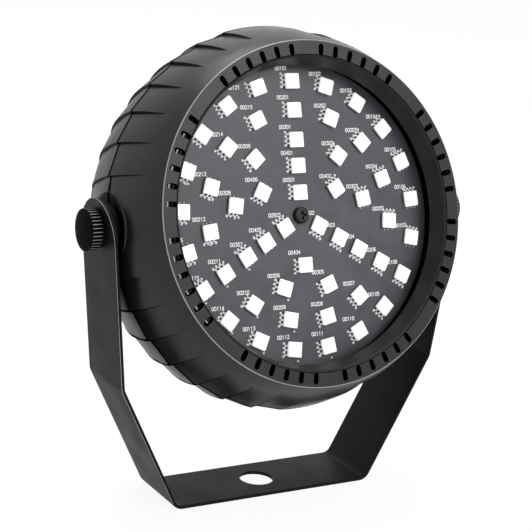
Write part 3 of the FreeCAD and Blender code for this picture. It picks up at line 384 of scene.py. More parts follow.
class Piece:
    """Collects surfaces, in millimetres, and then becomes one object."""

    def __init__(self):
        self.points = []
        self.faces = []
        self.marks = []
        self.total = 0

    def add(self, points, faces, mark=0):
        points = np.asarray(points, float).reshape(-1, 3)
        self.points.append(points)
        self.faces.extend([[self.total + index for index in face] for face in faces])
        self.marks.extend([mark] * len(faces))
        self.total += len(points)

    def grid(self, rows, closed=False, mark=0):
        """Quads between rows of points. Closed joins each row's end to its start."""
        rows = np.asarray(rows, float)
        count, width = rows.shape[:2]
        last = width if closed else width - 1
        faces = []
        for row in range(count - 1):
            for column in range(last):
                start = row * width + column
                end = row * width + (column + 1) % width
                faces.append((start, end, end + width, start + width))
        self.add(rows, faces, mark)

    def fan(self, loop, centre, mark=0):
        """Triangles from a loop to its centre."""
        count = len(loop)
        points = np.vstack([np.asarray(loop, float), [centre]])
        faces = [(index, (index + 1) % count, count) for index in range(count)]
        self.add(points, faces, mark)

    def make(self, name, body, slots, replaced=(), sharp=35.0):
        mesh = bpy.data.meshes.new(name)
        mesh.from_pydata(head_to_row(np.vstack(self.points)).tolist(), [], self.faces)
        for slot in slots:
            mesh.materials.append(made[slot])
        mesh.polygons.foreach_set("material_index", self.marks)
        working = bmesh.new()
        working.from_mesh(mesh)
        bmesh.ops.remove_doubles(working, verts=working.verts, dist=MERGE_DISTANCE)
        bmesh.ops.recalc_face_normals(working, faces=working.faces)
        working.to_mesh(mesh)
        working.free()
        finished(name, mesh, body, replaced, sharp)


def finished(name, mesh, body, replaced, sharp):
    """Link a mesh as a smooth shaded piece that rides on a body."""
    mesh.shade_smooth()
    mesh.set_sharp_from_angle(angle=math.radians(sharp))
    piece = bpy.data.objects.new(name, mesh)
    scene.collection.objects.link(piece)
    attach(piece, body)
    if replaced:
        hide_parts(*replaced)
    return piece


def polar(radius, clock, depth):
    """Points in the head's frame from radius, clock angle and depth."""
    angle = np.radians(clock)
    parts = np.broadcast_arrays(radius * np.sin(angle), depth, radius * np.cos(angle))
    return np.stack(parts, axis=-1).astype(float)


def turned(points, clock):
    """Points turned about the head's axis by a clock angle."""
    angle = math.radians(clock)
    x, depth, z = np.moveaxis(np.asarray(points, float), -1, 0)
    across = x * math.cos(angle) + z * math.sin(angle)
    up = z * math.cos(angle) - x * math.sin(angle)
    return np.stack([across, depth, up], axis=-1)


def on_board(radius, turn):
    """The place (x, z) at a radius and at a turn in radians."""
    return radius * math.sin(turn), radius * math.cos(turn)


def circle(radius, count=48):
    angles = np.radians(np.arange(count) * 360.0 / count)
    return np.stack([np.sin(angles), np.cos(angles)], axis=1) * radius


def flat_loop(outline, depth, x, z):
    """An outline of (x, z) points moved to a depth and to a middle."""
    outline = np.asarray(outline, float)
    depths = np.full(len(outline), depth)
    return np.stack([outline[:, 0] + x, depths, outline[:, 1] + z], axis=1)


# LED packages with their lens, leads and solder

PACKAGE, LENS, SOLDER, SHADED_SIDE = range(4)  # material marks of a ring
PACKAGE_CORNER = 0.12
PACKAGE_SQUARENESS = 3.2
PACKAGE_CUT = 0.25  # off the corner that marks a pole
PACKAGE_POINTS = 48
# What an outline adds to the half width, and its depth below the top
PACKAGE_EDGE = ((-0.04, 0.86), (0.0, 0.82), (0.0, 0.16), (-0.05, 0.04), (-0.14, 0.0))
# Radius, and depth below the top
DISH = ((2.02, 0.0), (1.95, 0.06), (1.88, 0.2))
DISH_LENS = ((1.88, 0.2), (1.6, 0.17), (1.0, 0.13), (0.4, 0.12))
# How far out from the package, and how high above the board
LEAD_PATH = ((-0.1, 0.7), (0.12, 0.68), (0.22, 0.58), (0.25, 0.25), (0.4, 0.12), (0.75, 0.1))
LEAD_ACROSS = (-0.32, -0.26, 0.26, 0.32)
LEAD_FOLD = 0.05
LEAD_PLACES = (1.9, 0.4, -1.1)
SMALL_BEAD_OUT = 0.5
SMALL_BEAD = (0.16, 0.3, 0.2)  # half length, half width and height
WIDE_BEAD_PLACES = (2.55, 1.15, -0.3, -1.75)
WIDE_BEAD_OUT, WIDE_BEAD_OUT_DRIFT = 1.02, 0.12
WIDE_BEAD_HALF, WIDE_BEAD_HALF_DRIFT = 0.52, 0.08
WIDE_BEAD_ACROSS = 0.43
WIDE_BEAD_HEIGHT = 0.3
WIDE_SIDE_TURNS = -0.3  # cosine of the clock angle
LONE_BEAD_CLOCKS = (170, 310)
LONE_BEAD_RINGS = 3
LONE_BEAD_ASIDE = 1.6
LONE_BEAD_DROP = 3.95
LONE_BEAD = (0.36, 0.36, 0.12)
BEAD_POINTS = 14
# Share of the bead's width, and share of its height
BEAD_ROWS = ((1.0, 0.0), (0.97, 0.35), (0.82, 0.72), (0.5, 0.95))


def package_outline(half):
    """Points round a square with round corners and one corner cut off."""
    angles = np.radians(np.arange(PACKAGE_POINTS) * 360.0 / PACKAGE_POINTS)
    x, z = np.sin(angles), np.cos(angles)
    power = 2 + PACKAGE_SQUARENESS * half / PACKAGE_CORNER
    size = half / (np.abs(x) ** power + np.abs(z) ** power) ** (1 / power)
    slanted = (2 * half - PACKAGE_CUT) / np.maximum(x + z, 0.01)
    size = np.where(x + z > 0.3, np.minimum(size, slanted), size)
    return np.stack([x * size, z * size], axis=1)


def package(piece, radius, clock):
    """A foot whose grey is painted shade on the package's sides, a pale body with a round dish, and
    the lens in the dish.
    """
    top = BOARD_DEPTH - LED_HEIGHT

    def loop(outline, depth):
        return turned(flat_loop(outline, depth, 0, radius), clock)

    edge, below = PACKAGE_EDGE[0]
    foot = package_outline(LED_HALF + edge)
    piece.grid([loop(foot, BOARD_DEPTH), loop(foot, top + below)], True, SHADED_SIDE)
    body = [loop(package_outline(LED_HALF + edge), top + below) for edge, below in PACKAGE_EDGE]
    body += [loop(circle(size), top + below) for size, below in DISH]
    piece.grid(body, True, PACKAGE)
    lens = [loop(circle(size), top + below) for size, below in DISH_LENS]
    piece.grid(lens, True, LENS)
    piece.fan(lens[-1], loop([(0.0, 0.0)], top + DISH_LENS[-1][1])[0], LENS)


def bead(piece, x, z, along, across, height, clock):
    """A soft solder bead on the board."""
    rows = []
    for share, rise in BEAD_ROWS:
        outline = circle(1.0, BEAD_POINTS) * share * np.array([along, across])
        rows.append(turned(flat_loop(outline, BOARD_DEPTH - height * rise, x, z), clock))
    piece.grid(rows, True, SOLDER)
    centre = turned(np.array([[x, BOARD_DEPTH - height, z]]), clock)[0]
    piece.fan(rows[-1], centre, SOLDER)


def lead(piece, side, along, clock, mark):
    """A thin folded lead from the side of a package to its pad."""
    rows = np.array([[(side * (LED_HALF + out), BOARD_DEPTH - height, along + across)
                      for across in LEAD_ACROSS] for out, height in LEAD_PATH])
    rows[:, 0, 1] += LEAD_FOLD
    rows[:, -1, 1] += LEAD_FOLD
    piece.grid(turned(rows, clock), False, mark)


def leads_and_solder(piece, radius, clock):
    """Three leads on each side, with small beads on one side and wide ones on the other."""
    wide_side = 1.0 if math.cos(math.radians(clock)) < WIDE_SIDE_TURNS else -1.0
    for along in LEAD_PLACES:
        lead(piece, wide_side, radius + along, clock, SOLDER)
        # The leads beside the small beads take the grey of painted shade.
        lead(piece, -wide_side, radius + along, clock, SHADED_SIDE)
        x = -wide_side * (LED_HALF + SMALL_BEAD_OUT)
        bead(piece, x, radius + along, *SMALL_BEAD, clock)
    for place, along in enumerate(WIDE_BEAD_PLACES):
        half = WIDE_BEAD_HALF + WIDE_BEAD_HALF_DRIFT * math.sin(7.0 * place + clock)
        out = WIDE_BEAD_OUT + WIDE_BEAD_OUT_DRIFT * math.sin(5.0 * place + 2.0 * clock)
        bead(piece, wide_side * (LED_HALF + out), radius + along, half, WIDE_BEAD_ACROSS,
             WIDE_BEAD_HEIGHT, clock)


def led_ring(number, radius, count):
    """A ring of packages. Some at the lower left have a lone bead below them."""
    piece = Piece()
    for index in range(count):
        clock = 360.0 / count * index
        package(piece, radius, clock)
        leads_and_solder(piece, radius, clock)
        if LONE_BEAD_CLOCKS[0] < clock < LONE_BEAD_CLOCKS[1] and number <= LONE_BEAD_RINGS:
            x, z = on_board(radius, math.radians(clock))
            x += LONE_BEAD_ASIDE * math.cos(math.radians(clock - 180))
            z -= LONE_BEAD_DROP
            if math.hypot(x, z) < BOARD_EDGE:
                bead(piece, x, z, *LONE_BEAD, 0.0)
    piece.make("led_ring_%d_packages" % number, "head",
               ("led_package", "led_lens", "solder", "led_side_shade"), ("led_ring_%d" % number,))


# Numbers and conductors on the board

# Digits as one plain stroke each, x and z in turn, on a grid 4 wide and 6 high
STROKES = {
    "0": (0, 1, 0, 5, 1, 6, 3, 6, 4, 5, 4, 1, 3, 0, 1, 0, 0, 1),
    "1": (1, 5, 2, 6, 2, 0),
    "2": (0, 5, 1, 6, 3, 6, 4, 5, 4, 4, 0, 0, 4, 0),
    "3": (0, 6, 4, 6, 2, 3.6, 3, 3.6, 4, 2.6, 4, 1, 3, 0, 1, 0, 0, 1),
    "4": (3, 0, 3, 6, 0, 2, 4, 2),
    "5": (4, 6, 0, 6, 0, 3.4, 3, 3.4, 4, 2.4, 4, 1, 3, 0, 0, 0),
    "6": (3.5, 6, 1.5, 6, 0, 4, 0, 1, 1, 0, 3, 0, 4, 1, 4, 2.4, 3, 3.4, 0, 3.2),
    "7": (0, 6, 4, 6, 1.5, 0),
    "8": (1, 3.2, 0, 4.2, 0, 5, 1, 6, 3, 6, 4, 5, 4, 4.2, 3, 3.2, 1, 3.2, 0, 2.2, 0, 1, 1, 0,
          3, 0, 4, 1, 4, 2.2, 3, 3.2),
    "9": (0.5, 0, 2.5, 0, 4, 2, 4, 5, 3, 6, 1, 6, 0, 5, 0, 3.6, 1, 2.6, 4, 2.8),
}
STROKE_GRID_HEIGHT = 6
NUMBER_PITCH = 4.9  # in grid units
NUMBER_NARROWING = (0.84, 1.0)
NUMBER_HEIGHT = 1.15
NUMBER_LINE = 0.17
NUMBER_PROUD = 0.03
NUMBER_PLACES = ((-3.2, 4.3), (-8.4, 0.2))  # from the package, the better one first
NUMBER_HALF_SIZE = (2.2, 0.5)
TRACE_WIDTH = 0.25
TRACE_PROUD = 0.015
TRACE_POINTS = 7
TRACE_ASIDE = 0.9
TRACE_REACH = 3.6


def ribbon(piece, path, width, proud):
    """A thin flat line along a path of (x, z) points, just proud of the board."""
    path = np.asarray(path, float)
    depth = BOARD_DEPTH - proud
    for start, end in zip(path[:-1], path[1:]):
        run = end - start
        ahead = run / math.hypot(*run) * width / 2
        side = np.array([-ahead[1], ahead[0]])
        corners = (start - ahead - side, end + ahead - side, end + ahead + side,
                   start - ahead + side)
        piece.add([(x, depth, z) for x, z in corners], [(0, 1, 2, 3)])


def write_number(piece, text, x, z):
    """The digits of a number in strokes, with the middle at (x, z)."""
    unit = NUMBER_HEIGHT / STROKE_GRID_HEIGHT
    pitch = unit * NUMBER_PITCH
    left = x - pitch * len(text) / 2
    for place, digit in enumerate(text):
        stroke = np.array(STROKES[digit], float).reshape(-1, 2) * NUMBER_NARROWING
        corner = np.array([left + place * pitch, z - NUMBER_HEIGHT / 2])
        ribbon(piece, stroke * unit + corner, NUMBER_LINE, NUMBER_PROUD)


def board_print():
    """A plain number by each package that leaves room for one on the board."""
    piece = Piece()
    half_width, half_height = NUMBER_HALF_SIZE
    for ring, (radius, count) in enumerate(LED_RINGS, start=1):
        for index in range(count):
            x, z = on_board(radius, math.radians(360.0 / count * index))
            for across, up in NUMBER_PLACES:
                reach = math.hypot(abs(x + across) + half_width, abs(z + up) + half_height)
                if reach < BOARD_EDGE:
                    number = "%05d" % (ring * 100 + index + 1)
                    write_number(piece, number, x + across, z + up)
                    break
    piece.make("board_numbers", "head", ("board_print",))


def board_traces():
    """Thin conductors from package to package, and two outward from each package."""
    piece = Piece()
    for radius, count in LED_RINGS:
        for index in range(count):
            clock = 360.0 / count * index
            arc = [on_board(radius, math.radians(clock + share * 360.0 / count))
                   for share in np.linspace(0.0, 1.0, TRACE_POINTS)]
            ribbon(piece, arc, TRACE_WIDTH, TRACE_PROUD)
            for offset in (-TRACE_ASIDE, TRACE_ASIDE):
                turn = math.radians(clock) + offset / radius
                line = [on_board(radius, turn), on_board(radius + TRACE_REACH, turn)]
                ribbon(piece, line, TRACE_WIDTH, TRACE_PROUD)
    piece.make("board_traces", "head", ("board_trace",))


# Clamp knobs

RIB_HIGHLIGHT = 1  # material mark of the painted highlight on the ribs' crests
KNOB_HEIGHT = 4.9
KNOB_SIDE_HEIGHT = 3.7
KNOB_RADIUS = 6.8
KNOB_RIBS = 34
# One rib and groove: shares of the pitch, and depths below the knob's radius
RIB_SHARES = (0.0, 0.1, 0.16, 0.26, 0.38, 0.5, 0.62, 0.74, 0.84, 0.9)
RIB_DEPTHS = (0.0, 0.02, 0.16, 0.42, 0.52, 0.54, 0.52, 0.42, 0.16, 0.02)
RIB_CREST = (0, 9)  # places in the rib that carry the painted highlight
HIGHLIGHT_ROWS = range(2, 5)
DOME_EDGE = 0.1
DOME_ROWS = np.linspace(0.06, 1.0, 14)[:-1]
DOME_POWER = 2.2
DOME_NARROWING = 0.991


def knob(side, node):
    """A domed knob with ribs round its side, in place of the CAD knob."""
    low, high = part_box(node)
    base = min(abs(low[0]), abs(high[0])) / MILLIMETRE
    turns = [(index + np.array(RIB_SHARES)) * 360.0 / KNOB_RIBS for index in range(KNOB_RIBS)]
    turn = np.radians(np.concatenate(turns))
    width = len(turn)
    ribbed = KNOB_RADIUS - np.tile(RIB_DEPTHS, KNOB_RIBS)
    plain = np.full(width, KNOB_RADIUS)
    top = KNOB_SIDE_HEIGHT
    rows = [(0.0, ribbed - 0.35), (0.12, ribbed - 0.08), (0.3, ribbed), (1.5, ribbed),
            (3.0, ribbed), (top - 0.14, ribbed), (top - 0.13, plain - 0.02), (top, plain),
            (top + DOME_EDGE, plain - 0.06)]
    for share in DOME_ROWS:
        rise = (KNOB_HEIGHT - top - DOME_EDGE) * (1 - (1 - share) ** DOME_POWER)
        rows.append((top + DOME_EDGE + rise, plain * (1 - share) * DOME_NARROWING))
    loops = []
    for out, size in rows:
        x = np.full(width, side * (base + out))
        loops.append(np.stack([x, PIVOT_DEPTH + size * np.cos(turn), size * np.sin(turn)], axis=1))
    piece = Piece()
    piece.grid(loops, True)
    # The crests of the ribs take a pale tone: a painted highlight.
    for row in HIGHLIGHT_ROWS:
        for column in range(width):
            if column % len(RIB_SHARES) in RIB_CREST:
                piece.marks[row * width + column] = RIB_HIGHLIGHT
    piece.fan(loops[-1], (side * (base + KNOB_HEIGHT), PIVOT_DEPTH, 0))
    piece.fan(loops[0], (side * base, PIVOT_DEPTH, 0))
    piece.make(node + "_grip", node, ("knob_plastic", "rib_painted_highlight"), (node,), sharp=50.0)


# The wall round the board, dead black as painted shade, and the pale sleeve that shows through
# the slots at the left, its front edge glowing as a painted highlight

# Radius and depth
SURROUND_PROFILE = ((50.0, 8.95), (50.75, 8.95), (50.8, 9.0), (50.8, 11.25), (50.0, 11.25),
                    (50.0, 8.95))
SLEEVE_CLOCKS = np.linspace(228.0, 303.0, 76)
SLEEVE_OUTER = 51.05
SLEEVE_INNER = 50.83
SLEEVE_FRONT = 6.75
SLEEVE_BACK = 11.1
SLEEVE_EDGE_DEPTH = 0.45
SLEEVE_FACE, SLEEVE_HIGHLIGHT = range(2)  # material marks


def board_surround():
    # A dead black wall: painted shade in the gap between the board and the funnel.
    surround = Piece()
    clocks = np.arange(360.0)
    surround.grid([polar(radius, clocks, depth) for radius, depth in SURROUND_PROFILE], True)
    surround.make("board_surround", "head", ("inner_black",), ("spacer_ring",))


def pale_sleeve():
    sleeve = Piece()
    edge = SLEEVE_FRONT + SLEEVE_EDGE_DEPTH
    behind = ((SLEEVE_OUTER, edge), (SLEEVE_OUTER, SLEEVE_BACK), (SLEEVE_INNER, SLEEVE_BACK),
              (SLEEVE_INNER, edge))
    ahead = ((SLEEVE_INNER, edge), (SLEEVE_INNER, SLEEVE_FRONT), (SLEEVE_OUTER, SLEEVE_FRONT),
             (SLEEVE_OUTER, edge))
    for profile, mark in ((behind, SLEEVE_FACE), (ahead, SLEEVE_HIGHLIGHT)):
        rows = [polar(radius, SLEEVE_CLOCKS, depth) for radius, depth in profile]
        sleeve.grid(rows, False, mark)
    end_corners = ((SLEEVE_OUTER, SLEEVE_BACK), (SLEEVE_OUTER, edge), (SLEEVE_OUTER, SLEEVE_FRONT),
                   (SLEEVE_INNER, SLEEVE_FRONT), (SLEEVE_INNER, edge), (SLEEVE_INNER, SLEEVE_BACK))
    for clock in (SLEEVE_CLOCKS[0], SLEEVE_CLOCKS[-1]):
        corners = [polar(radius, clock, depth) for radius, depth in end_corners]
        sleeve.add(corners, [(0, 1, 2, 3, 4, 5)], SLEEVE_FACE)
    sleeve.make("pale_sleeve", "head", ("sleeve_face", "sleeve_edge_highlight"))


# The digits of the display, behind the smoked window

# Ends of the seven bars, with x in digit widths and z in half heights
SEGMENTS = ((-0.5, 1, 0.5, 1), (0.5, 1, 0.5, 0), (0.5, 0, 0.5, -1), (-0.5, -1, 0.5, -1),
            (-0.5, 0, -0.5, -1), (-0.5, 1, -0.5, 0), (-0.5, 0, 0.5, 0))
LIT = {"0": (0, 1, 2, 3, 4, 5), "1": (1, 2), " ": ()}
LIT_MARK, UNLIT_MARK = range(2)
DISPLAY_TEXT = " 001"
DISPLAY_PITCH = 6.3
DISPLAY_WIDTH = 3.2
DISPLAY_HALF_HEIGHT = 3.6
DISPLAY_SLANT = 0.35
DISPLAY_PROUD = 0.04
BAR_HALF = 0.42
BAR_GAP = 0.12


def display_digits():
    """Four digits of seven slanted bars, just proud of the display's face."""
    places = row_to_head([vertex.co[:] for vertex in nodes["display_module"].data.vertices])
    depth = places[:, 1].max() + DISPLAY_PROUD
    middle = (places[:, 2].max() + places[:, 2].min()) / 2
    piece = Piece()
    for place, digit in enumerate(DISPLAY_TEXT):
        aside = (place - (len(DISPLAY_TEXT) - 1) / 2) * DISPLAY_PITCH
        for index, ends in enumerate(SEGMENTS):
            start, end = [np.array([x * DISPLAY_WIDTH + z * DISPLAY_SLANT, z * DISPLAY_HALF_HEIGHT])
                          for x, z in (ends[:2], ends[2:])]
            run = (end - start) / np.linalg.norm(end - start)
            side = np.array([-run[1], run[0]])
            start, end = start + run * BAR_GAP, end - run * BAR_GAP
            outline = (start, start + (run + side) * BAR_HALF, end + (side - run) * BAR_HALF, end,
                       end - (side + run) * BAR_HALF, start + (run - side) * BAR_HALF)
            points = [(-(across + aside), depth, middle + up) for across, up in outline]
            mark = LIT_MARK if index in LIT[digit] else UNLIT_MARK
            piece.add(points, [(0, 1, 2, 3, 4, 5)], mark)
    piece.make("display_digits", "head", ("lit_segment", "unlit_segment"))


# The side wall: 36 plates with a step between them, smooth at the pads, the top and the
# bottom. Corners of its profile are (radius, depth).

RIM = (56.1, 0.5)
SEAM = (64.0, 23.9)
SHOULDER = (55.0, 56.0)
BACK = (48.8, 62.0)
FRONT_BULGE = 1.0
REAR_BULGE = 1.9
CORNER_BULGE = 1.3
PAD_HALF_DISTANCE = 62.4
PLATES = 36
PLATE_TURN = 10.0
PLATE_START = 5.0
PLATE_STEP = 0.9
PLATE_WIDTH = 11.1
PLATE_PROUD = 0.06
SMOOTH_PLATES = (7, 8, 16, 17, 25, 26, 34, 35)
# Share of the way along the plate, and share of the step
FRONT_SHARES = ((0.0, 0.0), (0.22, 0.0), (0.36, 0.35), (0.55, 0.75), (0.78, 1.0), (1.1, 1.0))
REAR_SHARES = ((-0.1, 1.0), (0.75, 1.0), (0.93, 0.8), (1.02, 0.0))
FRONT_SAMPLES = 240
REAR_SAMPLES = 360
SMOOTHING_REACH = 40
SMOOTHING_WIDTH = 14.0


def arc_through(first, bulge, last):
    """Centre and radius of the arc from first to last that is bulge proud of its chord."""
    across, along = last[0] - first[0], last[1] - first[1]
    chord = math.hypot(across, along)
    size = (chord ** 2 / 4 + bulge ** 2) / (2 * bulge)
    back = size - bulge
    middle = ((first[0] + last[0]) / 2, (first[1] + last[1]) / 2)
    return (middle[0] - along / chord * back, middle[1] + across / chord * back), size


def wall_profile(front):
    """The two ends of a housing's side wall, and the arc between them."""
    first, bulge, last = (RIM, FRONT_BULGE, SEAM) if front else (SEAM, REAR_BULGE, SHOULDER)
    centre, size = arc_through(first, bulge, last)
    return first, last, centre, size


def plate_table(front):
    """Depths, with the share of the step and how it changes there, both smoothed."""
    if front:
        first, last, run, samples = 0.0, SEAM[1], SEAM[1], FRONT_SAMPLES
    else:
        first, last, run, samples = SEAM[1], BACK[1], SHOULDER[1] - SEAM[1], REAR_SAMPLES
    depths = np.linspace(first, last, samples)
    places, shares = np.array(FRONT_SHARES if front else REAR_SHARES).T
    share = np.interp((depths - first) / run, places, shares)
    reach = np.arange(-SMOOTHING_REACH, SMOOTHING_REACH + 1)
    weights = np.exp(-(reach / SMOOTHING_WIDTH) ** 2)
    padded = np.pad(share, SMOOTHING_REACH, mode="edge")
    share = np.convolve(padded, weights / weights.sum(), mode="valid")
    return depths, share, np.gradient(share, depths)


PLATE_TABLES = {front: plate_table(front) for front in (True, False)}


def plate_at(clock):
    """The plate, or plates, at a clock angle, counted from the top."""
    return np.floor((clock % 360.0 - PLATE_START) / PLATE_TURN).astype(int) % PLATES


def wall_radius(clock, depth):
    """Radius of the side wall, plates and pads included, at one clock angle and depth."""
    front = depth < SEAM[1]
    first, last, centre, size = wall_profile(front)
    body = centre[0] + math.sqrt(size ** 2 - (depth - centre[1]) ** 2)
    if plate_at(np.float64(clock)) not in SMOOTH_PLATES:
        place = depth / SEAM[1] if front else (depth - SEAM[1]) / (SHOULDER[1] - SEAM[1])
        places, shares = np.array(FRONT_SHARES if front else REAR_SHARES).T
        share = float(np.interp(place, places, shares))
        if share > 0:
            high = body + PLATE_PROUD
            low = high - share * PLATE_STEP
            ahead = math.radians((clock - PLATE_START) % PLATE_TURN)
            whole = math.radians(PLATE_TURN)
            chord = high * low * math.sin(whole)
            chord /= high * math.sin(ahead) + low * math.sin(whole - ahead)
            body = min(body, chord)
    return min(body, PAD_HALF_DISTANCE / max(abs(math.sin(math.radians(clock))), 0.5))


def wall_normals(places, plates, front):
    """Outward directions, in the head's frame, of the side wall at places on it."""
    first, last, centre, size = wall_profile(front)
    depth = places[:, 1]
    offset = np.clip(depth, first[1], last[1]) - centre[1]
    slope = -offset / np.sqrt(size ** 2 - offset ** 2)
    clock = np.degrees(np.arctan2(places[:, 0], places[:, 2])) % 360.0
    depths, table, change = PLATE_TABLES[front]
    plated = ~np.isin(plates, SMOOTH_PLATES)
    share = np.interp(depth, depths, table) * plated
    across = ((clock - PLATE_START) / PLATE_TURN - plates) % PLATES
    across = np.where(across > PLATES / 2, across - PLATES, across).clip(0.0, 1.0)
    slope = slope - PLATE_STEP * across * np.interp(depth, depths, change) * plated
    turn = np.radians(clock) + PLATE_STEP * share / PLATE_WIDTH
    found = np.stack([np.sin(turn), -slope, np.cos(turn)], axis=1)
    return found / np.linalg.norm(found, axis=1)[:, None]


# Housings: copies of the CAD meshes with a narrower rim edge and seam, even shading, and tones
# of their own for ring and funnel, a painted highlight on the rim, and painted shade in the slots,
# in the seam, on the steps between plates and on the pad faces

BASE, RIM_HIGHLIGHT, PAINTED_SHADE, FUNNEL, RING, STEP_SHADE = range(6)  # material marks
ON_PLANE = 0.02  # how near a depth counts as the same plane
FACE_EDGE_RADIUS = 55.4
RIM_OUTER_RADIUS = 56.0
RIM_NARROW_DEPTH = 0.28
FRONT_SEAM_EDGE = 23.45
REAR_SEAM_EDGE = 24.35
SEAM_EDGE_NEAR = 0.03
SEAM_EDGE_RADIUS = 63.8
EDGE_SHIFT = 0.22
SEAM_RADIUS = 63.55
BEFORE_SEAM = 23.88
BEHIND_SEAM = 23.92
SEAM_BELOW_WALL = 0.03
SEAM_LIFT = 0.25
RIM_EDGE_DEPTH = 0.35
RIM_EDGE_RADIUS = 55.7
SLOT_DEPTHS = (0.05, 2.3)
SLOT_RADII = (51.0, 55.3)
SEAM_GAP_DEPTHS = (23.6, 24.2)
SEAM_GAP_RADIUS = 61.5
FUNNEL_DEPTH = 7.0
FUNNEL_RADIUS = 51.62
STEP_DEPTHS = (4.0, 57.0)
STEP_RADIUS = 54.0
STEP_ACROSS = 62.0  # steps beside a pad's face aren't steps of the wall
STEP_FACING = 0.8
PAD_ACROSS = 62.3
PAD_FACING = 0.9995
PAD_LOWER_PART = 5.0  # below this height a pad's face takes dead black, painted shade
SMOOTH_FACING = 0.93
SMOOTH_END = 55.0
FACE_FACING = 0.999
FORWARD_FACING = 0.1
INWARD_FACING = 0.05
RING_RADIUS = 56.0
RING_END = 6.8
FUNNEL_EDGE_CENTRE = (51.6, 1.3)
FUNNEL_EDGE_SIZE = 1.3
FUNNEL_DIRECTION = (-0.962, -0.272)
CORNER_TOLERANCE = 0.15
CORNER_FACING = 0.9
COPY_SHARP = 30.0


def radius_of(points):
    return np.hypot(points[:, 0], points[:, 2])


def clock_of(points):
    """Clock angles in radians."""
    return np.arctan2(points[:, 0], points[:, 2])


def narrow_edges(places, front):
    """Move the rim's and the seam's edges so that their chamfers are narrower."""
    radius = radius_of(places)
    depth = places[:, 1].copy()
    wider = np.zeros(len(places))
    outer = radius > SEAM_EDGE_RADIUS
    if front:
        wider[(depth < ON_PLANE) & (radius > FACE_EDGE_RADIUS)] = EDGE_SHIFT
        on_rim = (abs(depth - RIM[1]) < ON_PLANE) & (radius > RIM_OUTER_RADIUS)
        depth[on_rim] = RIM_NARROW_DEPTH
        depth[(abs(depth - FRONT_SEAM_EDGE) < SEAM_EDGE_NEAR) & outer] += EDGE_SHIFT
    else:
        depth[(abs(depth - REAR_SEAM_EDGE) < SEAM_EDGE_NEAR) & outer] -= EDGE_SHIFT
    on_seam = abs(places[:, 1] - SEAM[1]) < ON_PLANE
    on_seam &= abs(radius - SEAM_RADIUS) < SEAM_EDGE_NEAR
    beside_seam = BEFORE_SEAM if front else BEHIND_SEAM
    for index in np.nonzero(on_seam)[0]:
        clock = math.degrees(math.atan2(places[index, 0], places[index, 2]))
        room = wall_radius(clock, beside_seam) - radius[index] - SEAM_BELOW_WALL
        wider[index] = min(max(room, 0.0), SEAM_LIFT)
    scale = 1 + wider / np.maximum(radius, 1.0)
    return np.stack([places[:, 0] * scale, depth, places[:, 2] * scale], axis=1)


def housing_marks(corner_lists, centres, facing, front):
    """The material mark of each face."""
    marks = np.full(len(centres), BASE)
    for index, corners in enumerate(corner_lists):
        radius = radius_of(corners)
        near, far = radius.min(), radius.max()
        shallow, deep = corners[:, 1].min(), corners[:, 1].max()
        in_slot = SLOT_DEPTHS[0] < deep < SLOT_DEPTHS[1]
        # The rim's chamfer takes a pale tone: a painted highlight.
        if front and shallow < ON_PLANE and deep < RIM_EDGE_DEPTH and near > RIM_EDGE_RADIUS:
            marks[index] = RIM_HIGHLIGHT
        elif front and deep < ON_PLANE:
            marks[index] = RING
        # Slot walls and the seam's gap take dead black: painted shade.
        elif front and in_slot and near > SLOT_RADII[0] and far < SLOT_RADII[1]:
            marks[index] = PAINTED_SHADE
        elif (near > SEAM_GAP_RADIUS and shallow > SEAM_GAP_DEPTHS[0]
              and deep < SEAM_GAP_DEPTHS[1]):
            marks[index] = PAINTED_SHADE
        elif (front and deep < FUNNEL_DEPTH and far < FUNNEL_RADIUS
              and facing[index, 1] < -FORWARD_FACING):
            marks[index] = FUNNEL
    clock = clock_of(centres)
    # The step walls between plates take a duller copy of the plastic that renders darker: painted
    # shade.
    tangent = np.stack([np.cos(clock), np.zeros(len(centres)), -np.sin(clock)], axis=1)
    steps = abs((tangent * facing).sum(axis=1)) > STEP_FACING
    steps &= (radius_of(centres) > STEP_RADIUS) & (abs(centres[:, 0]) < STEP_ACROSS)
    steps &= (centres[:, 1] > STEP_DEPTHS[0]) & (centres[:, 1] < STEP_DEPTHS[1])
    marks[steps] = STEP_SHADE
    # Pad faces: dead black below, the steps' dull tone above: painted shade from the bracket's
    # arms.
    pads = (abs(facing[:, 0]) > PAD_FACING) & (abs(centres[:, 0]) > PAD_ACROSS)
    marks[pads] = np.where(centres[pads, 2] > PAD_LOWER_PART, STEP_SHADE, PAINTED_SHADE)
    return marks


def round_the_axis(profile, corners):
    """Directions (outward, depth) at corners, as directions in the head's frame."""
    clock = clock_of(corners)
    return np.stack([profile[:, 0] * np.sin(clock), profile[:, 1], profile[:, 0] * np.cos(clock)],
                    axis=1)


def ring_normals(corner_lists, centres, facing, give):
    """Even directions for the front face, its rounded inner edge and the funnel."""
    radius = radius_of(centres)
    inward = -(facing[:, 0] * centres[:, 0] + facing[:, 2] * centres[:, 2]) / radius
    for index in np.nonzero((radius < RING_RADIUS) & (centres[:, 1] < RING_END))[0]:
        depth = centres[index, 1]
        corners = corner_lists[index]
        if facing[index, 1] < -FACE_FACING and depth < ON_PLANE:
            profile = np.tile([0.0, -1.0], (len(corners), 1))
        elif (inward[index] > INWARD_FACING and facing[index, 1] < -FORWARD_FACING
              and radius[index] < FUNNEL_EDGE_CENTRE[0]):
            if depth < FUNNEL_EDGE_CENTRE[1]:
                profile = np.stack([radius_of(corners), corners[:, 1]], axis=1)
                profile = (profile - FUNNEL_EDGE_CENTRE) / FUNNEL_EDGE_SIZE
            else:
                profile = np.tile(FUNNEL_DIRECTION, (len(corners), 1))
        else:
            continue
        give(index, round_the_axis(profile, corners))


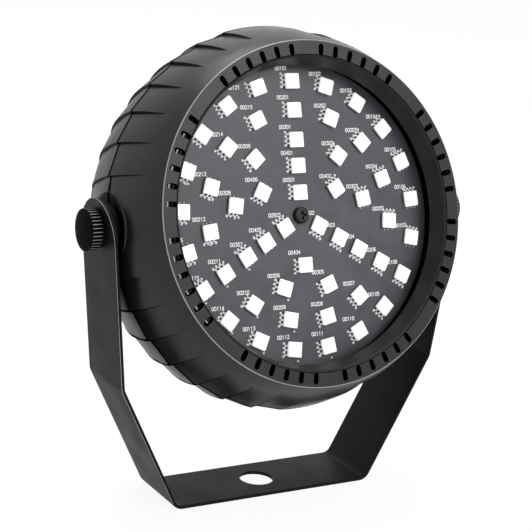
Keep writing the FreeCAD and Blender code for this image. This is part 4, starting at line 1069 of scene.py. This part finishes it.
def back_normals(corner_lists, centres, facing, give):
    """Even directions for the round corner behind the side wall, and for the flat back."""
    centre, size = arc_through(SHOULDER, CORNER_BULGE, BACK)
    for index in np.nonzero(centres[:, 1] > SMOOTH_END)[0]:
        corners = corner_lists[index]
        if facing[index, 1] > FACE_FACING and centres[index, 1] > BACK[1] - ON_PLANE:
            profile = np.tile([0.0, 1.0], (len(corners), 1))
        else:
            profile = np.stack([radius_of(corners), corners[:, 1]], axis=1) - centre
            distance = np.hypot(profile[:, 0], profile[:, 1])
            if abs(distance - size).max() > CORNER_TOLERANCE:
                continue
            profile /= np.linalg.norm(profile, axis=1)[:, None]
        found = round_the_axis(profile, corners)
        if (found.mean(axis=0) * facing[index]).sum() > CORNER_FACING:
            give(index, found)


def housing(node, name):
    front = node == "front_housing"
    mesh = nodes[node].data.copy()
    mesh.name = name
    working = bmesh.new()
    working.from_mesh(mesh)
    bmesh.ops.remove_doubles(working, verts=working.verts, dist=MERGE_DISTANCE)
    places = row_to_head([vertex.co[:] for vertex in working.verts])
    for vertex, place in zip(working.verts, head_to_row(narrow_edges(places, front))):
        vertex.co = place
    working.to_mesh(mesh)
    working.free()
    mesh.materials.clear()
    for slot in ("housing_black" if front else "rear_black", "rim_painted_highlight", "inner_black",
                 "funnel_black", "ring_black", "front_step_shade" if front else "rear_step_shade"):
        mesh.materials.append(made[slot])
    finished(name, mesh, "head", (node,), COPY_SHARP)

    places = row_to_head([vertex.co[:] for vertex in mesh.vertices])
    corner_lists = [places[list(polygon.vertices)] for polygon in mesh.polygons]
    centres = np.array([corners.mean(axis=0) for corners in corner_lists])
    facing = row_direction_to_head([polygon.normal[:] for polygon in mesh.polygons])
    marks = housing_marks(corner_lists, centres, facing, front)
    mesh.polygons.foreach_set("material_index", marks.astype(np.int32))

    wanted = np.zeros((len(mesh.loops), 3))

    def give(index, directions):
        wanted[list(mesh.polygons[int(index)].loop_indices)] = head_direction_to_row(directions)

    plates = plate_at(np.degrees(clock_of(centres)))
    ideal = wall_normals(centres, plates, front)
    smooth = ((ideal * facing).sum(axis=1) > SMOOTH_FACING) & (marks == BASE)
    smooth &= centres[:, 1] < (SEAM[1] if front else SMOOTH_END)
    for index in np.nonzero(smooth)[0]:
        corners = corner_lists[index]
        give(index, wall_normals(corners, np.full(len(corners), plates[index]), front))
    if front:
        ring_normals(corner_lists, centres, facing, give)
    else:
        back_normals(corner_lists, centres, facing, give)
    mesh.normals_split_custom_set(wanted.tolist())


# Dark ribbons in the seam and along the high edges of the lower plates: painted shade of the seam's
# groove and of the plates' steps

LINE_PLATES = range(9, 26)
SEAM_LINE_DEPTHS = (23.48, 23.56, 23.72, 23.88, 23.92, 24.08, 24.22, 24.3)
SEAM_LINE_PROUD = 0.09
SEAM_LINE_PROUD_BY_PADS = 0.2
BY_PADS = (8.0, 13.0)  # degrees from a pad's middle
CLOCK_NUDGE = 0.001  # keeps the lines' points off the plates' corners
# First and last depth, width and height above the wall
PLATE_LINES = ((6.5, 23.85, 0.24, 0.03), (23.95, 53.5, 0.7, 0.12))
PLATE_LINE_POINTS = 14
LINE_CHAMFERS = (0.03, 0.06)
TAPER_DEPTHS = (5.0, 55.5)
TAPER_RUN = 9.0
LINE_RADIUS = 62.0


def painted_shade_lines():
    piece = Piece()
    clocks = np.arange(0.0, 360.0, 0.5) + (PLATE_START + CLOCK_NUDGE)
    rows = []
    for depth in SEAM_LINE_DEPTHS:
        sunk = depth in (SEAM_LINE_DEPTHS[0], SEAM_LINE_DEPTHS[-1])
        row = []
        for clock in clocks:
            by_pads = BY_PADS[0] < abs(clock % 180.0 - 90.0) < BY_PADS[1]
            proud = SEAM_LINE_PROUD_BY_PADS if by_pads else SEAM_LINE_PROUD
            radius = wall_radius(clock, depth) + (0.0 if sunk else proud)
            row.append(polar(radius, clock, depth))
        rows.append(row)
    piece.grid(rows, True)
    for plate in LINE_PLATES:
        if plate in SMOOTH_PLATES:
            continue
        for start, end, width, rise in PLATE_LINES:
            outline = ((0.0, 0.0), (LINE_CHAMFERS[0], rise), (width, rise),
                       (width + LINE_CHAMFERS[1], 0.0))
            rows = []
            for depth in np.linspace(start, end, PLATE_LINE_POINTS):
                taper = min(1.0, (depth - TAPER_DEPTHS[0]) / TAPER_RUN,
                            (TAPER_DEPTHS[1] - depth) / TAPER_RUN)
                row = []
                for share, proud in outline:
                    clock = PLATE_START + CLOCK_NUDGE + PLATE_TURN * plate
                    clock += math.degrees(share * taper / LINE_RADIUS)
                    row.append(polar(wall_radius(clock, depth) + proud, clock, depth))
                rows.append(row)
            piece.grid(rows)
    piece.make("painted_shade_lines", "head", ("inner_black",), sharp=80.0)


# The bracket: a copy of the CAD mesh whose outer front edge has a pale tone, a painted highlight.
# Row's frame.

COAT, EDGE_HIGHLIGHT = range(2)  # material marks
FLAT_ANGLE = math.radians(0.5)
SHARP_ANGLE = 1.0  # in radians
OUTER_FACING = 0.9
FRONT_HALF_END = 9.0
ARM_END_START = 84.0
ARM_OUTER_SIDE = 65.2
HIGHLIGHT_EDGE_WIDTH = 0.3
FOOT_TOP = 3.0
ROUND_END_START = 88.0
# How far a face with the painted highlight points outward, forward on the arm, and across at the
# round end
HIGHLIGHT_OUTWARD = (0.4, 0.9)
HIGHLIGHT_FORWARD = (0.5, 0.88)
HIGHLIGHT_ACROSS = (0.5, 0.9)


def within(value, ends):
    return ends[0] < value < ends[1]


def bracket():
    mesh = nodes["yoke"].data.copy()
    mesh.name = "bracket_strip"
    working = bmesh.new()
    working.from_mesh(mesh)
    bmesh.ops.remove_doubles(working, verts=working.verts, dist=MERGE_DISTANCE)
    bmesh.ops.dissolve_limit(working, angle_limit=FLAT_ANGLE, verts=working.verts,
                             edges=working.edges)
    weights = working.edges.layers.float.new("bevel_weight_edge")
    for edge in working.edges:
        middle = (edge.verts[0].co + edge.verts[1].co) / 2 / MILLIMETRE
        side = math.copysign(1.0, middle.x)
        sharp = len(edge.link_faces) == 2 and edge.calc_face_angle(0.0) > SHARP_ANGLE
        outer = max(face.normal.x * side for face in edge.link_faces) > OUTER_FACING
        at_end = middle.z > ARM_END_START and abs(middle.x) > ARM_OUTER_SIDE
        if sharp and outer and at_end and middle.y < FRONT_HALF_END:
            edge[weights] = 1.0
    working.to_mesh(mesh)
    working.free()
    mesh.materials.clear()
    for slot in ("powder_coat", "bracket_painted_highlight"):
        mesh.materials.append(made[slot])
    # Faces along the outer front edge take a pale tone: a painted highlight.
    marks = []
    for polygon in mesh.polygons:
        x, y, z = polygon.center / MILLIMETRE
        facing = polygon.normal
        across = math.hypot(facing.y, facing.z)
        highlighted = z > FOOT_TOP and within(facing.x * math.copysign(1.0, x), HIGHLIGHT_OUTWARD)
        if z < ROUND_END_START:
            highlighted = highlighted and within(-facing.y, HIGHLIGHT_FORWARD)
        else:
            highlighted = highlighted and y < FRONT_HALF_END and within(across, HIGHLIGHT_ACROSS)
        marks.append(EDGE_HIGHLIGHT if highlighted else COAT)
    mesh.polygons.foreach_set("material_index", marks)
    piece = finished("bracket_strip", mesh, "yoke", ("yoke",), COPY_SHARP)
    # The bevel round the arm's end takes the painted highlight too.
    modifier = piece.modifiers.new("painted_highlight_edge", "BEVEL")
    modifier.limit_method = "WEIGHT"
    modifier.width = HIGHLIGHT_EDGE_WIDTH * MILLIMETRE
    modifier.segments = 2
    modifier.material = EDGE_HIGHLIGHT
    modifier.harden_normals = True


scene.view_settings.view_transform = "Standard"
add_camera()
add_world()
add_floor()
for values in AREA_LIGHTS:
    add_area_light(*values)
made = make_materials()
dress_nodes()
for number, (radius, count) in enumerate(LED_RINGS, start=1):
    led_ring(number, radius, count)
board_print()
board_traces()
board_surround()
pale_sleeve()
display_digits()
knob(-1, "knob_left")
knob(1, "knob_right")
housing("front_housing", "front_shell")
housing("rear_housing", "rear_shell")
bracket()
painted_shade_lines()
